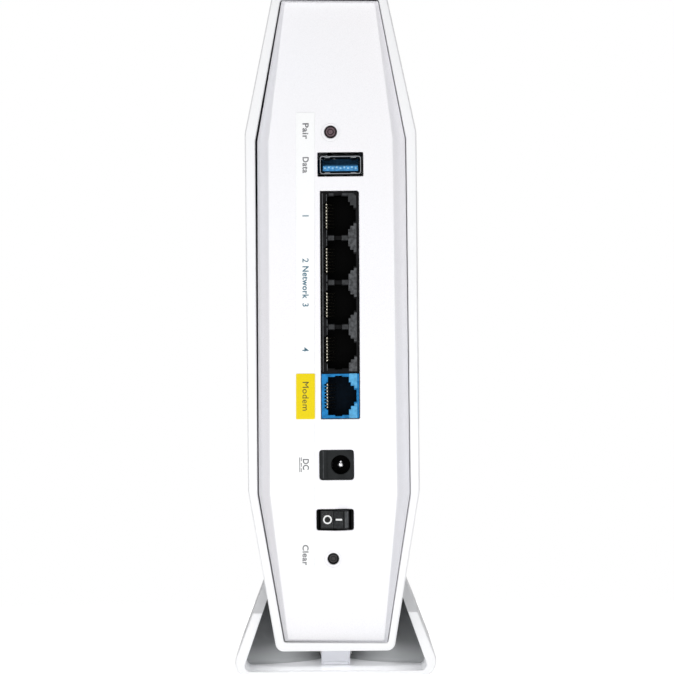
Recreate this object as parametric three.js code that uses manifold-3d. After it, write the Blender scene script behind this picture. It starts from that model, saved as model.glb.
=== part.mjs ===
// A wireless router that stands on edge: a tall, faceted sleeve that is open at the rear, a recessed
// port panel on a chassis tray that slides into it, the electronics on that tray, and a folded stand.
//
// Millimetres. +Z is up, -Y points out of the port side (the rear) and +X is to the right as the port
// side is looked at. The origin is on the table, under the middle of the stand.
import * as THREE from "three";
import { ConvexGeometry } from "three/addons/geometries/ConvexGeometry.js";
import { mergeVertices } from "three/addons/utils/BufferGeometryUtils.js";
import Module from "manifold-3d";

// ---------------------------------------------------------------- driving dimensions
const HEIGHT = 219.2; // table to the top of the sleeve
const DEPTH = 190; // rear rim to front face
const REAR = -DEPTH / 2;
const FRONT = DEPTH / 2;

const SLEEVE_BOTTOM = 11.7; // underside of the sleeve above the table
const HALF_WIDTH = 26.9; // between the two corner heights the sides are upright
const HALF_TOP = 17.5;
const HALF_BOTTOM = 18.4;
const LOWER_CORNER_Z = 61.8;
const UPPER_CORNER_Z = 174.1;
const WALL = 3.1; // sleeve wall, and so the width of the rim round the port panel
const FRONT_CHAMFER = 4.5;

const PANEL_FACE = REAR + 2.4; // flat middle of the port panel
const PANEL_THICKNESS = 3.2;
const PANEL_BACK = PANEL_FACE + PANEL_THICKNESS;
const FACET_DROP = 2.0; // the panel's side facets fall away by this much
const FACET_WIDTH = 3.5;
const FACET_END_DROP = 0.55; // they narrow towards the panel's top and bottom
const FACET_END_WIDTH = 0.9;
const PANEL_END_BEVEL = 0.5;

const BOARD_X = -6.4; // left face of the upright main board
const BOARD_THICKNESS = 1.6;
const BOARD_FACE = BOARD_X + BOARD_THICKNESS; // component side
const BOARD_REAR = -88;
const BOARD_FRONT = 72;
const BOARD_LOW = 22;
const BOARD_HIGH = 208;

const CLEARANCE = 0.3; // between pieces that don't touch
const SEAM = 0.05; // glue or solder line between stacked pieces

const JACK_PITCH = 13.97; // ganged modular jacks
const JACK_FACE = PANEL_FACE + 0.4;
const JACK_X = 2.37;
const LAN_Z = [0, 1, 2, 3].map((port) => 148.2 - port * JACK_PITCH);
const WAN_Z = 91.6;
const JACK_BLOCK_TOP = 156;
const JACK_SPLIT_Z = 98.6; // the black block ends and the blue jack starts
const JACK_BLOCK_BOTTOM = 84.6;
const JACK_HALF_X = 5.95;

const USB = { x: 3.0, z: 164.1, width: 13.0, height: 5.75 };
const USB_OPENING = { x: 3.0, z: 164.3, width: 14.2, height: 7.6 };
const DC = { x: 0.9, z: 70.0, width: 10.9, height: 9.65, holeX: 2.2, holeRadius: 3.0, pinRadius: 1.0 };
const SWITCH = { x: 0.2, z: 52.8, width: 11.2, height: 6.6 };
const PAIR_BUTTON = { x: 0, z: 174.5, holeRadius: 2.05, capRadius: 1.75, recess: 0.2 };
const RESET_BUTTON = { x: -0.4, z: 40.5, holeRadius: 1.8, capRadius: 1.5, recess: 1.2 };

const ROCKER_TILT = 15; // degrees either side of level, so 30 of travel
const ROCKER_RADIUS = 4.8;
const PIVOT_Y = PANEL_FACE + 1.6;
const SWITCH_DEPTH = 12; // behind the pivot

const STAND_DEPTH = 130;
const STAND_UNDERSIDE = 0.8;
const STAND_FLOOR = 3.4;
const POST_Y = 32.3;
const POST_WIDTH = 9.4;

// ---------------------------------------------------------------- materials
const plastic = (color, roughness = 0.5) =>
  new THREE.MeshStandardMaterial({ color, roughness, metalness: 0 });
const metal = (color, roughness = 0.35) =>
  new THREE.MeshStandardMaterial({ color, roughness, metalness: 1 });

const MATERIAL = {
  shell: plastic(0xf4f4f6, 0.42),
  panel: plastic(0xf8f7fb, 0.45),
  stand: plastic(0xf4f4f6, 0.42),
  tray: plastic(0x9a9da1, 0.6),
  board: plastic(0x1d5a37, 0.5),
  jackBlack: plastic(0x26272a, 0.5),
  jackBlue: plastic(0x4aa3dc, 0.45),
  usbBlue: plastic(0x2f7fd0, 0.4),
  darkPlastic: plastic(0x35383a, 0.5),
  button: plastic(0x4a4044, 0.55),
  label: plastic(0xffffff, 0.6),
  yellow: plastic(0xffe21f, 0.55),
  rubber: plastic(0x55585a, 0.9),
  pad: plastic(0x8fa3b5, 0.9),
  lightPipe: plastic(0xdfe6ea, 0.15),
  lead: plastic(0x1c1c1e, 0.6),
  component: plastic(0x222326, 0.5),
  steel: metal(0xb9bdc2, 0.3),
  aluminium: metal(0xc4c7ca, 0.45),
  gold: metal(0xd9b45b, 0.3),
};

// ---------------------------------------------------------------- solids: join and cut
const wasm = await Module();
wasm.setup();

function toSolid(geometry) {
  const bare = new THREE.BufferGeometry();
  const flat = geometry.index ? geometry.toNonIndexed() : geometry;
  bare.setAttribute("position", flat.getAttribute("position").clone());
  const merged = mergeVertices(bare, 1e-4);
  return new wasm.Manifold(
    new wasm.Mesh({
      numProp: 3,
      vertProperties: merged.attributes.position.array,
      triVerts: new Uint32Array(merged.index.array),
    }),
  );
}

function toGeometry(solid) {
  const { vertProperties, triVerts } = solid.getMesh();
  const geometry = new THREE.BufferGeometry();
  geometry.setAttribute("position", new THREE.BufferAttribute(vertProperties, 3));
  geometry.setIndex(new THREE.BufferAttribute(triVerts, 1));
  geometry.computeVertexNormals();
  return geometry;
}

function join(first, ...others) {
  return toGeometry(others.reduce((solid, other) => solid.add(toSolid(other)), toSolid(first)));
}

function cut(body, ...tools) {
  return toGeometry(tools.reduce((solid, tool) => solid.subtract(toSolid(tool)), toSolid(body)));
}

function common(a, b) {
  return toGeometry(toSolid(a).intersect(toSolid(b)));
}

// ---------------------------------------------------------------- shape helpers
function box(x0, x1, y0, y1, z0, z1) {
  return new THREE.BoxGeometry(x1 - x0, y1 - y0, z1 - z0).translate(
    (x0 + x1) / 2,
    (y0 + y1) / 2,
    (z0 + z1) / 2,
  );
}

const polygon = (pairs) => pairs.map(([x, y]) => new THREE.Vector2(x, y));

// Moves the edges of a counter-clockwise convex polygon inwards, by one distance or by one for each edge.
function inset(points, distance) {
  const edges = points.map((a, i) => {
    const b = points[(i + 1) % points.length];
    const direction = b.clone().sub(a).normalize();
    const inward = new THREE.Vector2(-direction.y, direction.x);
    const by = Array.isArray(distance) ? distance[i] : distance;
    return { from: a.clone().addScaledVector(inward, by), direction };
  });
  return edges.map((edge, i) => {
    const before = edges[(i + edges.length - 1) % edges.length];
    const gap = edge.from.clone().sub(before.from);
    const along = gap.cross(edge.direction) / before.direction.cross(edge.direction);
    return before.from.clone().addScaledVector(before.direction, along);
  });
}

// A closed shape through the corner points, each corner rounded to its own radius.
function rounded(points, radius) {
  const shape = new THREE.Shape();
  points.forEach((corner, i) => {
    const before = points[(i + points.length - 1) % points.length];
    const after = points[(i + 1) % points.length];
    const toBefore = before.clone().sub(corner).normalize();
    const toAfter = after.clone().sub(corner).normalize();
    const halfAngle = Math.acos(THREE.MathUtils.clamp(toBefore.dot(toAfter), -1, 1)) / 2;
    const r = Array.isArray(radius) ? radius[i] : radius;
    const back = r / Math.tan(halfAngle);
    const start = corner.clone().addScaledVector(toBefore, back);
    const end = corner.clone().addScaledVector(toAfter, back);
    if (i === 0) shape.moveTo(start.x, start.y);
    else shape.lineTo(start.x, start.y);
    shape.quadraticCurveTo(corner.x, corner.y, end.x, end.y);
  });
  shape.closePath();
  return shape;
}

const roundedBox = (x0, x1, y0, y1, radius) =>
  rounded(polygon([[x0, y0], [x1, y0], [x1, y1], [x0, y1]]), radius);

// The outline of a port or a control in X and Z, made smaller on every side by an inset.
const roundedPort = ({ x, z, width, height }, radius, smaller = 0) => {
  const halfWidth = width / 2 - smaller;
  const halfHeight = height / 2 - smaller;
  return roundedBox(x - halfWidth, x + halfWidth, z - halfHeight, z + halfHeight, radius);
};

// Extrudes a shape between two stations of an axis. Across Y the shape is drawn in X and Z, across X
// in Y and Z, and across Z in X and Y.
function extrude(shape, axis, from, to, curveSegments = 3) {
  const geometry = new THREE.ExtrudeGeometry(shape, {
    depth: to - from,
    bevelEnabled: false,
    curveSegments,
  });
  const [x, y, z] = [new THREE.Vector3(1, 0, 0), new THREE.Vector3(0, 1, 0), new THREE.Vector3(0, 0, 1)];
  const turn = new THREE.Matrix4();
  if (axis === "x") turn.makeBasis(y, z, x).setPosition(from, 0, 0);
  else if (axis === "y") turn.makeBasis(x, z, y.clone().negate()).setPosition(0, to, 0);
  else turn.setPosition(0, 0, from);
  return geometry.applyMatrix4(turn);
}

function cylinder(radius, axis, from, to, a, b, sides = 20) {
  const geometry = new THREE.CylinderGeometry(radius, radius, to - from, sides);
  const middle = (from + to) / 2;
  if (axis === "x") return geometry.rotateZ(Math.PI / 2).translate(middle, a, b);
  if (axis === "y") return geometry.translate(a, middle, b);
  return geometry.rotateX(Math.PI / 2).translate(a, b, middle);
}

// A solid of revolution along +Y or +Z from [radius, station] pairs that start and end on the axis.
function lathe(profile, axis, sides = 20) {
  const geometry = new THREE.LatheGeometry(polygon(profile), sides);
  return axis === "z" ? geometry.rotateX(Math.PI / 2) : geometry;
}

// A round tube along a smooth curve through the points.
function tube(points, radius, steps, sides = 8) {
  const path = new THREE.CatmullRomCurve3(points.map((p) => new THREE.Vector3(...p)), false, "centripetal");
  const section = new THREE.Shape(
    Array.from({ length: sides }, (_, i) => {
      const angle = (i / sides) * 2 * Math.PI;
      return new THREE.Vector2(radius * Math.cos(angle), radius * Math.sin(angle));
    }),
  );
  return new THREE.ExtrudeGeometry(section, { steps, extrudePath: path, bevelEnabled: false });
}

// The convex solid through flat rings, each a list of 2-D points in X and Z at its own Y.
function hullOfRings(rings) {
  return new ConvexGeometry(
    rings.flatMap(([points, y]) => points.map((p) => new THREE.Vector3(p.x, y, p.y))),
  );
}

// ---------------------------------------------------------------- sleeve section
const SLEEVE_CORNERS = polygon([
  [HALF_BOTTOM, SLEEVE_BOTTOM],
  [HALF_WIDTH, LOWER_CORNER_Z],
  [HALF_WIDTH, UPPER_CORNER_Z],
  [HALF_TOP, HEIGHT],
  [-HALF_TOP, HEIGHT],
  [-HALF_WIDTH, UPPER_CORNER_Z],
  [-HALF_WIDTH, LOWER_CORNER_Z],
  [-HALF_BOTTOM, SLEEVE_BOTTOM],
]);
const END_RADIUS = 2.6; // the four corners at the top and bottom
const SIDE_RADIUS = 9; // the soft corners half way up the sides

// Radii for corners listed like these: one at the ends of the outline, another half way up its sides.
const endAndSideRadii = (end, side) => [end, side, side, end, end, side, side, end];
const SLEEVE_RADII = endAndSideRadii(END_RADIUS, SIDE_RADIUS);

const sleeveShape = (depth) =>
  rounded(inset(SLEEVE_CORNERS, depth), SLEEVE_RADII.map((r) => Math.max(r - depth, 0.5)));
const sleeveRing = (depth) => sleeveShape(depth).getPoints(3);
const FRONT_INSET = FRONT_CHAMFER * 0.8; // the front chamfer is deeper along Y than it is wide

// The sleeve's opening and cavity. Its wall is thinner beside the sloping sides and below.
const MOUTH_CORNERS = polygon([
  [16.25, 14.1],
  [23.88, 61.3],
  [23.68, 172],
  [15.42, 215.85],
  [-15.35, 215.95],
  [-23.72, 171.8],
  [-24, 61.1],
  [-16.1, 14.5],
]);
const MOUTH_RADII = endAndSideRadii(0.8, 6);

const mouthRing = (depth) =>
  rounded(inset(MOUTH_CORNERS, depth), MOUTH_RADII.map((r) => Math.max(r - depth, 0.5))).getPoints(3);

// ---------------------------------------------------------------- outer shell
const VENT = { count: 25, pitch: 5.6, halfLength: 10.5, width: 2.2 };
const LIGHT = { z: 168, halfWidth: 1.1, halfHeight: 6 };
const FLOOR_VENT_Y = [-62, -56.4, -50.8, -45.2, 45.2, 50.8, 56.4, 62];
const SLEEVE_SCREW_HOLE = 1.7;

function ventStations() {
  return Array.from({ length: VENT.count }, (_, i) => (i - (VENT.count - 1) / 2) * VENT.pitch);
}

function outerShell() {
  const edge = 0.5; // softened outer edge of the rim
  const body = hullOfRings([
    [sleeveRing(edge), REAR],
    [sleeveRing(0), REAR + edge],
    [sleeveRing(0), FRONT - FRONT_CHAMFER],
    [sleeveRing(FRONT_INSET), FRONT],
  ]);
  const cavityChamferStart = FRONT - FRONT_CHAMFER - 1.4;
  const cavity = hullOfRings([
    [mouthRing(0), REAR - 1],
    [mouthRing(0), cavityChamferStart],
    [mouthRing(FRONT_INSET), FRONT - WALL],
  ]);
  const chamfer = 0.4; // of the rim's inner edge
  const mouthChamfer = hullOfRings([
    [mouthRing(-chamfer), REAR - 0.01],
    [mouthRing(0), REAR + chamfer],
  ]);
  const half = VENT.width / 2;
  const vents = ventStations().map((y) =>
    box(-VENT.halfLength, VENT.halfLength, y - half, y + half, HEIGHT - 2 * WALL, HEIGHT + 1),
  );
  const intakes = FLOOR_VENT_Y.map((y) =>
    box(-VENT.halfLength, VENT.halfLength, y - half, y + half, SLEEVE_BOTTOM - 1, SLEEVE_BOTTOM + 2 * WALL),
  );
  const screwHoles = [-POST_Y, POST_Y].map((y) =>
    cylinder(SLEEVE_SCREW_HOLE, "z", SLEEVE_BOTTOM - 1, SLEEVE_BOTTOM + 2 * WALL, 0, y, 16),
  );
  const window = box(
    -LIGHT.halfWidth, LIGHT.halfWidth, FRONT - 2 * WALL, FRONT + 1,
    LIGHT.z - LIGHT.halfHeight, LIGHT.z + LIGHT.halfHeight,
  );
  return cut(body, cavity, mouthChamfer, ...vents, ...intakes, ...screwHoles, window);
}

// ---------------------------------------------------------------- rear panel
// The panel sits a little to the right in the mouth, and the gap beside it narrows downwards.
const PANEL_CORNERS = polygon([
  [16.05, 14.25],
  [23.7, 61.3],
  [23.43, 172],
  [15.3, 215.45],
  [-15, 215.75],
  [-23.08, 171.8],
  [-23.66, 61.1],
  [-15.87, 14.75],
]);
const PANEL_RADII = endAndSideRadii(0.5, 4);

// The flat middle of the panel is narrower than its outline; side facets join the two.
function panelMiddle() {
  return PANEL_CORNERS.map((p) => {
    const isEnd = p.y > UPPER_CORNER_Z || p.y < LOWER_CORNER_Z / 2;
    const narrower = isEnd ? FACET_END_WIDTH : FACET_WIDTH;
    const shorter = isEnd ? PANEL_END_BEVEL * Math.sign(p.y - HEIGHT / 2) : 0;
    return new THREE.Vector2(p.x - Math.sign(p.x) * narrower, p.y - shorter);
  });
}

// How far the facets' outer edge lies behind the panel's face at a height.
function facetDrop(z) {
  const above = (z - UPPER_CORNER_Z) / (HEIGHT - WALL - UPPER_CORNER_Z);
  const below = (LOWER_CORNER_Z - z) / (LOWER_CORNER_Z - SLEEVE_BOTTOM - WALL);
  const share = THREE.MathUtils.clamp(Math.max(above, below), 0, 1);
  return THREE.MathUtils.lerp(FACET_DROP, FACET_END_DROP, share);
}

function rearPanel() {
  const outline = rounded(PANEL_CORNERS, PANEL_RADII).getPoints(3);
  const at = (p, y) => new THREE.Vector3(p.x, y, p.y);
  const plate = new ConvexGeometry([
    ...panelMiddle().map((p) => at(p, PANEL_FACE)),
    ...outline.map((p) => at(p, PANEL_FACE + facetDrop(p.y))),
    ...outline.map((p) => at(p, PANEL_BACK)),
  ]);
  const through = (shape) => extrude(shape, "y", PANEL_FACE - 1, PANEL_BACK + 1);
  const opening = (port, radius) => through(roundedPort(port, radius));
  const jackRadii = [0.2, 0.5, 0.8, 0.2];
  const jacks = through(jackOutline(JACK_HALF_X, JACK_BLOCK_BOTTOM, JACK_BLOCK_TOP, jackRadii));
  const buttonHole = ({ x, z, holeRadius }) =>
    cylinder(holeRadius, "y", PANEL_FACE - 1, PANEL_BACK + 1, x, z, 24);
  const plateWithHoles = cut(
    plate,
    jacks,
    opening(USB_OPENING, 0.3),
    opening(DC, 0.8),
    opening(SWITCH, 0.6),
    buttonHole(PAIR_BUTTON),
    buttonHole(RESET_BUTTON),
  );
  // Two snap tabs reach back past the tray's left side.
  const tabRight = TRAY.left - 0.8;
  const tabs = [[26, 38], [188, 200]].map(([low, high]) =>
    box(tabRight - 2, tabRight, PANEL_BACK - 0.5, PANEL_BACK + 9, low, high),
  );
  return join(plateWithHoles, ...tabs);
}

const LABEL = { x: -8.5, width: 5.9, low: 35.2, high: 180.6 };
const WAN_LABEL = { x: -8.7, width: 5.8, low: 84.4, high: 98.7 };

// A sticker on the flat middle of the panel; layer counts outwards from the panel.
function sticker({ x, width, low, high }, layer, thickness = 0.12) {
  const back = PANEL_FACE - SEAM - layer * (thickness + SEAM);
  const outline = roundedBox(x - width / 2, x + width / 2, low, high, 0.3);
  return extrude(outline, "y", back - thickness, back, 2);
}

// ---------------------------------------------------------------- chassis tray and main board
const TRAY = { left: -10.6, right: -8.6, rear: -88, front: 86, low: 15.2, high: 215.6 };
const BOARD_SCREWS = [[-70, 30], [64, 30], [-70, 200], [64, 200]];
const SCREW_SHAFT = 1.25;
const SCREW_HEAD = 1.8; // height of a screw's head
const SCREW_HEAD_RADIUS = 2.6;
const BOSS_RADIUS = 3.2;
const STAND_BOSS = { radius: 3.6, height: 7 };
const RAIL = 2.4; // thickness of the rails along the tray's top and bottom
const TRAY_WINDOWS = [[-82, -50], [-44, 58]]; // along Y, both from Z 48 to Z 182
// Air passes through the rails between the tray's plate and this X, in windows along Y.
const RAIL_WINDOW_RIGHT = 9;
const TOP_RAIL_WINDOWS = [[-78, -29], [-24, 24], [29, 78]];
const BOTTOM_RAIL_WINDOWS = [[-67, -41], [41, 67]];

function chassisTray() {
  const outline = roundedBox(TRAY.rear, TRAY.front, TRAY.low, TRAY.high, 3);
  outline.holes.push(...TRAY_WINDOWS.map(([rear, front]) => roundedBox(rear, front, 48, 182, 3)));
  const plate = extrude(outline, "x", TRAY.left, TRAY.right, 2);
  const rails = [
    box(-12, 12, TRAY.rear, TRAY.front, TRAY.low, TRAY.low + RAIL),
    box(-11, 11, TRAY.rear, TRAY.front, TRAY.high - RAIL, TRAY.high),
  ];
  const bosses = BOARD_SCREWS.map(([y, z]) =>
    cylinder(BOSS_RADIUS, "x", TRAY.left, BOARD_X - SEAM, y, z, 16),
  );
  const standBosses = [-POST_Y, POST_Y].map((y) =>
    cylinder(STAND_BOSS.radius, "z", TRAY.low, TRAY.low + STAND_BOSS.height, 0, y, 16),
  );
  const screwHoles = BOARD_SCREWS.map(([y, z]) =>
    cylinder(SCREW_SHAFT + CLEARANCE, "x", TRAY.left - 1, BOARD_X + 1, y, z, 12),
  );
  const standHoles = [-POST_Y, POST_Y].map((y) =>
    cylinder(SCREW_SHAFT + CLEARANCE, "z", TRAY.low - 1, TRAY.low + STAND_BOSS.height + 2, 0, y, 12),
  );
  const railWindow = (low) => ([rear, front]) =>
    box(TRAY.right + 0.6, RAIL_WINDOW_RIGHT, rear, front, low - 1, low + RAIL + 1);
  const railWindows = [
    ...TOP_RAIL_WINDOWS.map(railWindow(TRAY.high - RAIL)),
    ...BOTTOM_RAIL_WINDOWS.map(railWindow(TRAY.low)),
  ];
  const body = join(plate, ...rails, ...bosses, ...standBosses);
  return cut(body, ...screwHoles, ...standHoles, ...railWindows);
}

function mainBoard() {
  const outline = roundedBox(BOARD_REAR, BOARD_FRONT, BOARD_LOW, BOARD_HIGH, 2);
  const blank = extrude(outline, "x", BOARD_X, BOARD_FACE, 2);
  const holes = BOARD_SCREWS.map(([y, z]) => cylinder(1.6, "x", BOARD_X - 1, BOARD_FACE + 1, y, z, 12));
  // The power switch is deeper than its neighbours, so the board's edge is notched round it.
  const notchHalf = SWITCH.height / 2 + 0.8;
  const switchNotch = box(
    BOARD_X - 1, BOARD_FACE + 1, BOARD_REAR - 1, PIVOT_Y + SWITCH_DEPTH + 1,
    SWITCH.z - notchHalf, SWITCH.z + notchHalf,
  );
  return cut(blank, ...holes, switchNotch);
}

// ---------------------------------------------------------------- network jacks
// One socket: the plug opening, and on its right the stepped recess for the plug's latch.
const SOCKET = { left: -3.75, right: 2.8, halfHeight: 6.0, depth: 14 };
const LATCH_STEPS = [[3.4, 4.2], [4.45, 3.15], [5.2, 1.9]]; // [right edge, half height]
const COMB = { left: -4.85, halfHeight: 4.25 };
const NOTCH = { from: -1.5, to: 0.7, depth: 0.35 }; // in the middle of the socket's top and bottom
const HOUSING_DEPTH = SOCKET.depth + 3;

function socketCutter(z) {
  const back = JACK_FACE + SOCKET.depth;
  const opening = (left, right, half, rear = back) =>
    box(JACK_X + left, JACK_X + right, JACK_FACE - 1, rear, z - half, z + half);
  return join(
    opening(SOCKET.left, SOCKET.right, SOCKET.halfHeight),
    opening(NOTCH.from, NOTCH.to, SOCKET.halfHeight + NOTCH.depth),
    ...LATCH_STEPS.map(([right, half]) => opening(SOCKET.right - 0.5, right, half)),
    opening(COMB.left, SOCKET.left + 0.5, COMB.halfHeight),
  );
}

// Corner radii run from the lower left round to the lower right, the upper right and the upper left.
const jackOutline = (half, low, high, radii) =>
  roundedBox(JACK_X - half, JACK_X + half, low, high, radii);

function jackHousing(low, high, sockets, radii) {
  const back = JACK_FACE + HOUSING_DEPTH;
  const half = JACK_HALF_X - 0.2;
  const body = join(
    extrude(jackOutline(half, low, high, radii), "y", JACK_FACE, back, 2),
    box(BOARD_FACE + SEAM, JACK_X, PANEL_BACK + CLEARANCE, back, low, high),
  );
  return cut(body, ...sockets.map(socketCutter));
}

// Eight spring wires on one carrier bar, made at z = 0. The bar lies deep in the socket's comb recess.
const WIRE = { count: 8, pitch: 1.016, half: 0.2 };

function contactComb() {
  const left = JACK_X + COMB.left + CLEARANCE;
  const wire = new THREE.Shape(
    polygon([
      [left, JACK_FACE + 0.9],
      [left + 0.95, JACK_FACE + 0.6],
      [left + 1.1, JACK_FACE + 0.9],
      [left + 3.3, JACK_FACE + 8.8],
      [left + 2.95, JACK_FACE + 8.9],
      [left + 0.85, JACK_FACE + 1.4],
      [left + 0.35, JACK_FACE + 1.5],
      [left + 0.35, JACK_FACE + 13],
      [left, JACK_FACE + 13],
    ]),
  );
  const wires = Array.from({ length: WIRE.count }, (_, i) => {
    const z = (i - (WIRE.count - 1) / 2) * WIRE.pitch;
    return extrude(wire, "z", z - WIRE.half, z + WIRE.half);
  });
  const bar = box(
    left, left + 0.8, JACK_FACE + 12, JACK_FACE + 13.4,
    -COMB.halfHeight + CLEARANCE, COMB.halfHeight - CLEARANCE,
  );
  return join(bar, ...wires);
}

// ---------------------------------------------------------------- data port (flat, four-sided shell)
const USB_FACE = PANEL_FACE + 0.5;
const USB_LENGTH = 14;

const USB_SHEET = 0.35;
const TONGUE = { drop: 1.05, halfWidth: 5.55, halfHeight: 0.92 };
const USB_CORE = { start: USB_FACE + 9.4, halfWidth: 5.8, halfHeight: 2.2 };

function usbShell() {
  const outside = roundedPort(USB, 0.6);
  outside.holes.push(roundedPort(USB, 0.3, USB_SHEET));
  return extrude(outside, "y", USB_FACE, USB_FACE + USB_LENGTH, 2);
}

// The tongue stands on a core that fills the back of the shell and comes out behind it as a tail.
function usbTongue() {
  const { x, z } = USB;
  const tongueZ = z - TONGUE.drop;
  const low = z - USB_CORE.halfHeight;
  const high = z + USB_CORE.halfHeight;
  const shellEnd = USB_FACE + USB_LENGTH;
  const tail = shellEnd + 2;
  return join(
    box(
      x - TONGUE.halfWidth, x + TONGUE.halfWidth, USB_FACE + 0.7, USB_CORE.start + 0.5,
      tongueZ - TONGUE.halfHeight, tongueZ + TONGUE.halfHeight,
    ),
    box(x - USB_CORE.halfWidth, x + USB_CORE.halfWidth, USB_CORE.start, tail, low, high),
    box(BOARD_FACE + SEAM, x, shellEnd + CLEARANCE, tail, low, high),
  );
}

// ---------------------------------------------------------------- power inlet
const DC_FACE = PANEL_FACE + 0.5;
const DC_HOLE_DEPTH = 10.5;
const DC_BODY_DEPTH = DC_HOLE_DEPTH + 3;
const PORT_FIT = 0.12; // between a port's body and the panel's opening for it

function dcJackBody() {
  const half = DC.width / 2 - PORT_FIT;
  const face = roundedPort(DC, 0.7, PORT_FIT);
  const hole = cylinder(DC.holeRadius, "y", DC_FACE - 1, DC_FACE + DC_HOLE_DEPTH, DC.holeX, DC.z, 28);
  const springSlot = box(
    DC.holeX - DC.holeRadius - 0.9, DC.holeX - DC.holeRadius + 0.6,
    DC_FACE + 0.9, DC_FACE + DC_HOLE_DEPTH, DC.z - 1.2, DC.z + 1.2,
  );
  // A shallow step runs down the left side of the face.
  const step = box(DC.x - half - 1, DC.x - half + 1.3, DC_FACE - 1, DC_FACE + 0.35, DC.z - 6, DC.z + 6);
  const back = DC_FACE + DC_BODY_DEPTH;
  const foot = box(BOARD_FACE + SEAM, DC.x, PANEL_BACK + CLEARANCE, back, DC.z - 4.4, DC.z + 4.4);
  return cut(join(extrude(face, "y", DC_FACE, back, 2), foot), hole, springSlot, step);
}

function dcJackPin() {
  const tip = DC_FACE + 1.4;
  const end = DC_FACE + DC_HOLE_DEPTH - SEAM;
  const r = DC.pinRadius;
  const pin = lathe([[0, tip], [r * 0.55, tip + 0.12], [r, tip + 0.7], [r, end], [0, end]], "y");
  return pin.translate(DC.holeX, 0, DC.z);
}

function dcJackSpring() {
  const wall = DC.holeX - DC.holeRadius;
  const strip = new THREE.Shape(
    polygon([
      [wall - 0.6, DC_FACE + 1.2],
      [wall - 0.3, DC_FACE + 1.2],
      [wall + 0.3, DC_FACE + 4.5],
      [wall - 0.3, DC_FACE + 10.2],
      [wall - 0.6, DC_FACE + 10.2],
      [wall, DC_FACE + 4.5],
    ]),
  );
  return extrude(strip, "z", DC.z - 0.9, DC.z + 0.9);
}

// ---------------------------------------------------------------- power switch
const POCKET_HALF = ROCKER_RADIUS + CLEARANCE;
const ROCKER_HALF = 2.45; // half the rocker's height
const PIVOT_RADIUS = 0.7;
const PIVOT_HALF = ROCKER_HALF + 0.5;

function switchBody() {
  const shape = roundedPort(SWITCH, 0.5, PORT_FIT);
  const frame = extrude(shape, "y", PANEL_FACE + 0.1, PIVOT_Y + SWITCH_DEPTH, 2);
  const pocketHalf = ROCKER_HALF + CLEARANCE;
  const pocket = box(
    SWITCH.x - POCKET_HALF, SWITCH.x + POCKET_HALF, PANEL_FACE - 1, PIVOT_Y + 4.2,
    SWITCH.z - pocketHalf, SWITCH.z + pocketHalf,
  );
  const holeHalf = PIVOT_HALF + 0.13;
  const pivotHole = cylinder(
    PIVOT_RADIUS + 0.06, "z", SWITCH.z - holeHalf, SWITCH.z + holeHalf, SWITCH.x, PIVOT_Y, 16,
  );
  return cut(frame, pocket, pivotHole);
}

// Drawn level, about its pivot, then tipped so that its left half is pressed in.
function switchRocker() {
  const ridge = THREE.MathUtils.degToRad(37.8);
  const lowest = THREE.MathUtils.degToRad(-12);
  const profile = new THREE.Shape();
  profile.moveTo(0, -1.75);
  profile.lineTo(ROCKER_RADIUS * Math.cos(ridge), -ROCKER_RADIUS * Math.sin(ridge));
  profile.absarc(0, 0, ROCKER_RADIUS, -ridge, -lowest, false);
  profile.lineTo(1.7, 1.5);
  profile.lineTo(0.9, 3.0);
  profile.lineTo(-0.9, 3.0);
  profile.lineTo(-1.7, 1.5);
  profile.absarc(0, 0, ROCKER_RADIUS, Math.PI + lowest, Math.PI + ridge, false);
  profile.closePath();
  const body = extrude(profile, "z", -ROCKER_HALF, ROCKER_HALF, 6);
  const pivot = cylinder(PIVOT_RADIUS, "z", -PIVOT_HALF, PIVOT_HALF, 0, 0, 16);
  return join(body, pivot).rotateZ(THREE.MathUtils.degToRad(-ROCKER_TILT));
}

// ---------------------------------------------------------------- push buttons
const PLUNGER_TIP = PANEL_BACK + 2.3; // where a button's stem meets the tactile switch's plunger
const TACT_FACE = PLUNGER_TIP + 1.0;

// A moulded cap with a collar behind the panel and a stem, about its own axis.
function pushButton({ capRadius, recess }) {
  const cap = PANEL_FACE + recess;
  const collar = { radius: 2.9, front: PANEL_BACK + 0.4, back: PANEL_BACK + 1.2 };
  const stem = { radius: 1.3, end: PLUNGER_TIP - SEAM };
  const profile = [
    [0, cap], [capRadius - 0.35, cap], [capRadius, cap + 0.3], [capRadius, collar.front],
    [collar.radius, collar.front], [collar.radius, collar.back],
    [stem.radius, collar.back], [stem.radius, stem.end], [0, stem.end],
  ];
  return lathe(profile, "y", 24);
}

const PLUNGER_RADIUS = 1.2;

function tactPlunger() {
  const end = TACT_FACE + 1.2;
  return lathe([[0, PLUNGER_TIP], [PLUNGER_RADIUS, PLUNGER_TIP], [PLUNGER_RADIUS, end], [0, end]], "y", 16);
}

// A right-angle tactile switch that stands on the board beside its plunger's axis.
function tactSwitch({ x }) {
  const body = box(BOARD_FACE + SEAM - x, 3, TACT_FACE, TACT_FACE + 3.6, -3, 3);
  const bore = cylinder(PLUNGER_RADIUS + CLEARANCE, "y", TACT_FACE - 1, TACT_FACE + 2.4, 0, 0, 16);
  return cut(body, bore);
}

// ---------------------------------------------------------------- board parts
const SHIELD_HEIGHT = 3;
const shieldCan = (width, height) =>
  extrude(roundedBox(-width / 2, width / 2, -height / 2, height / 2, 1), "x", 0, SHIELD_HEIGHT, 2);

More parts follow.
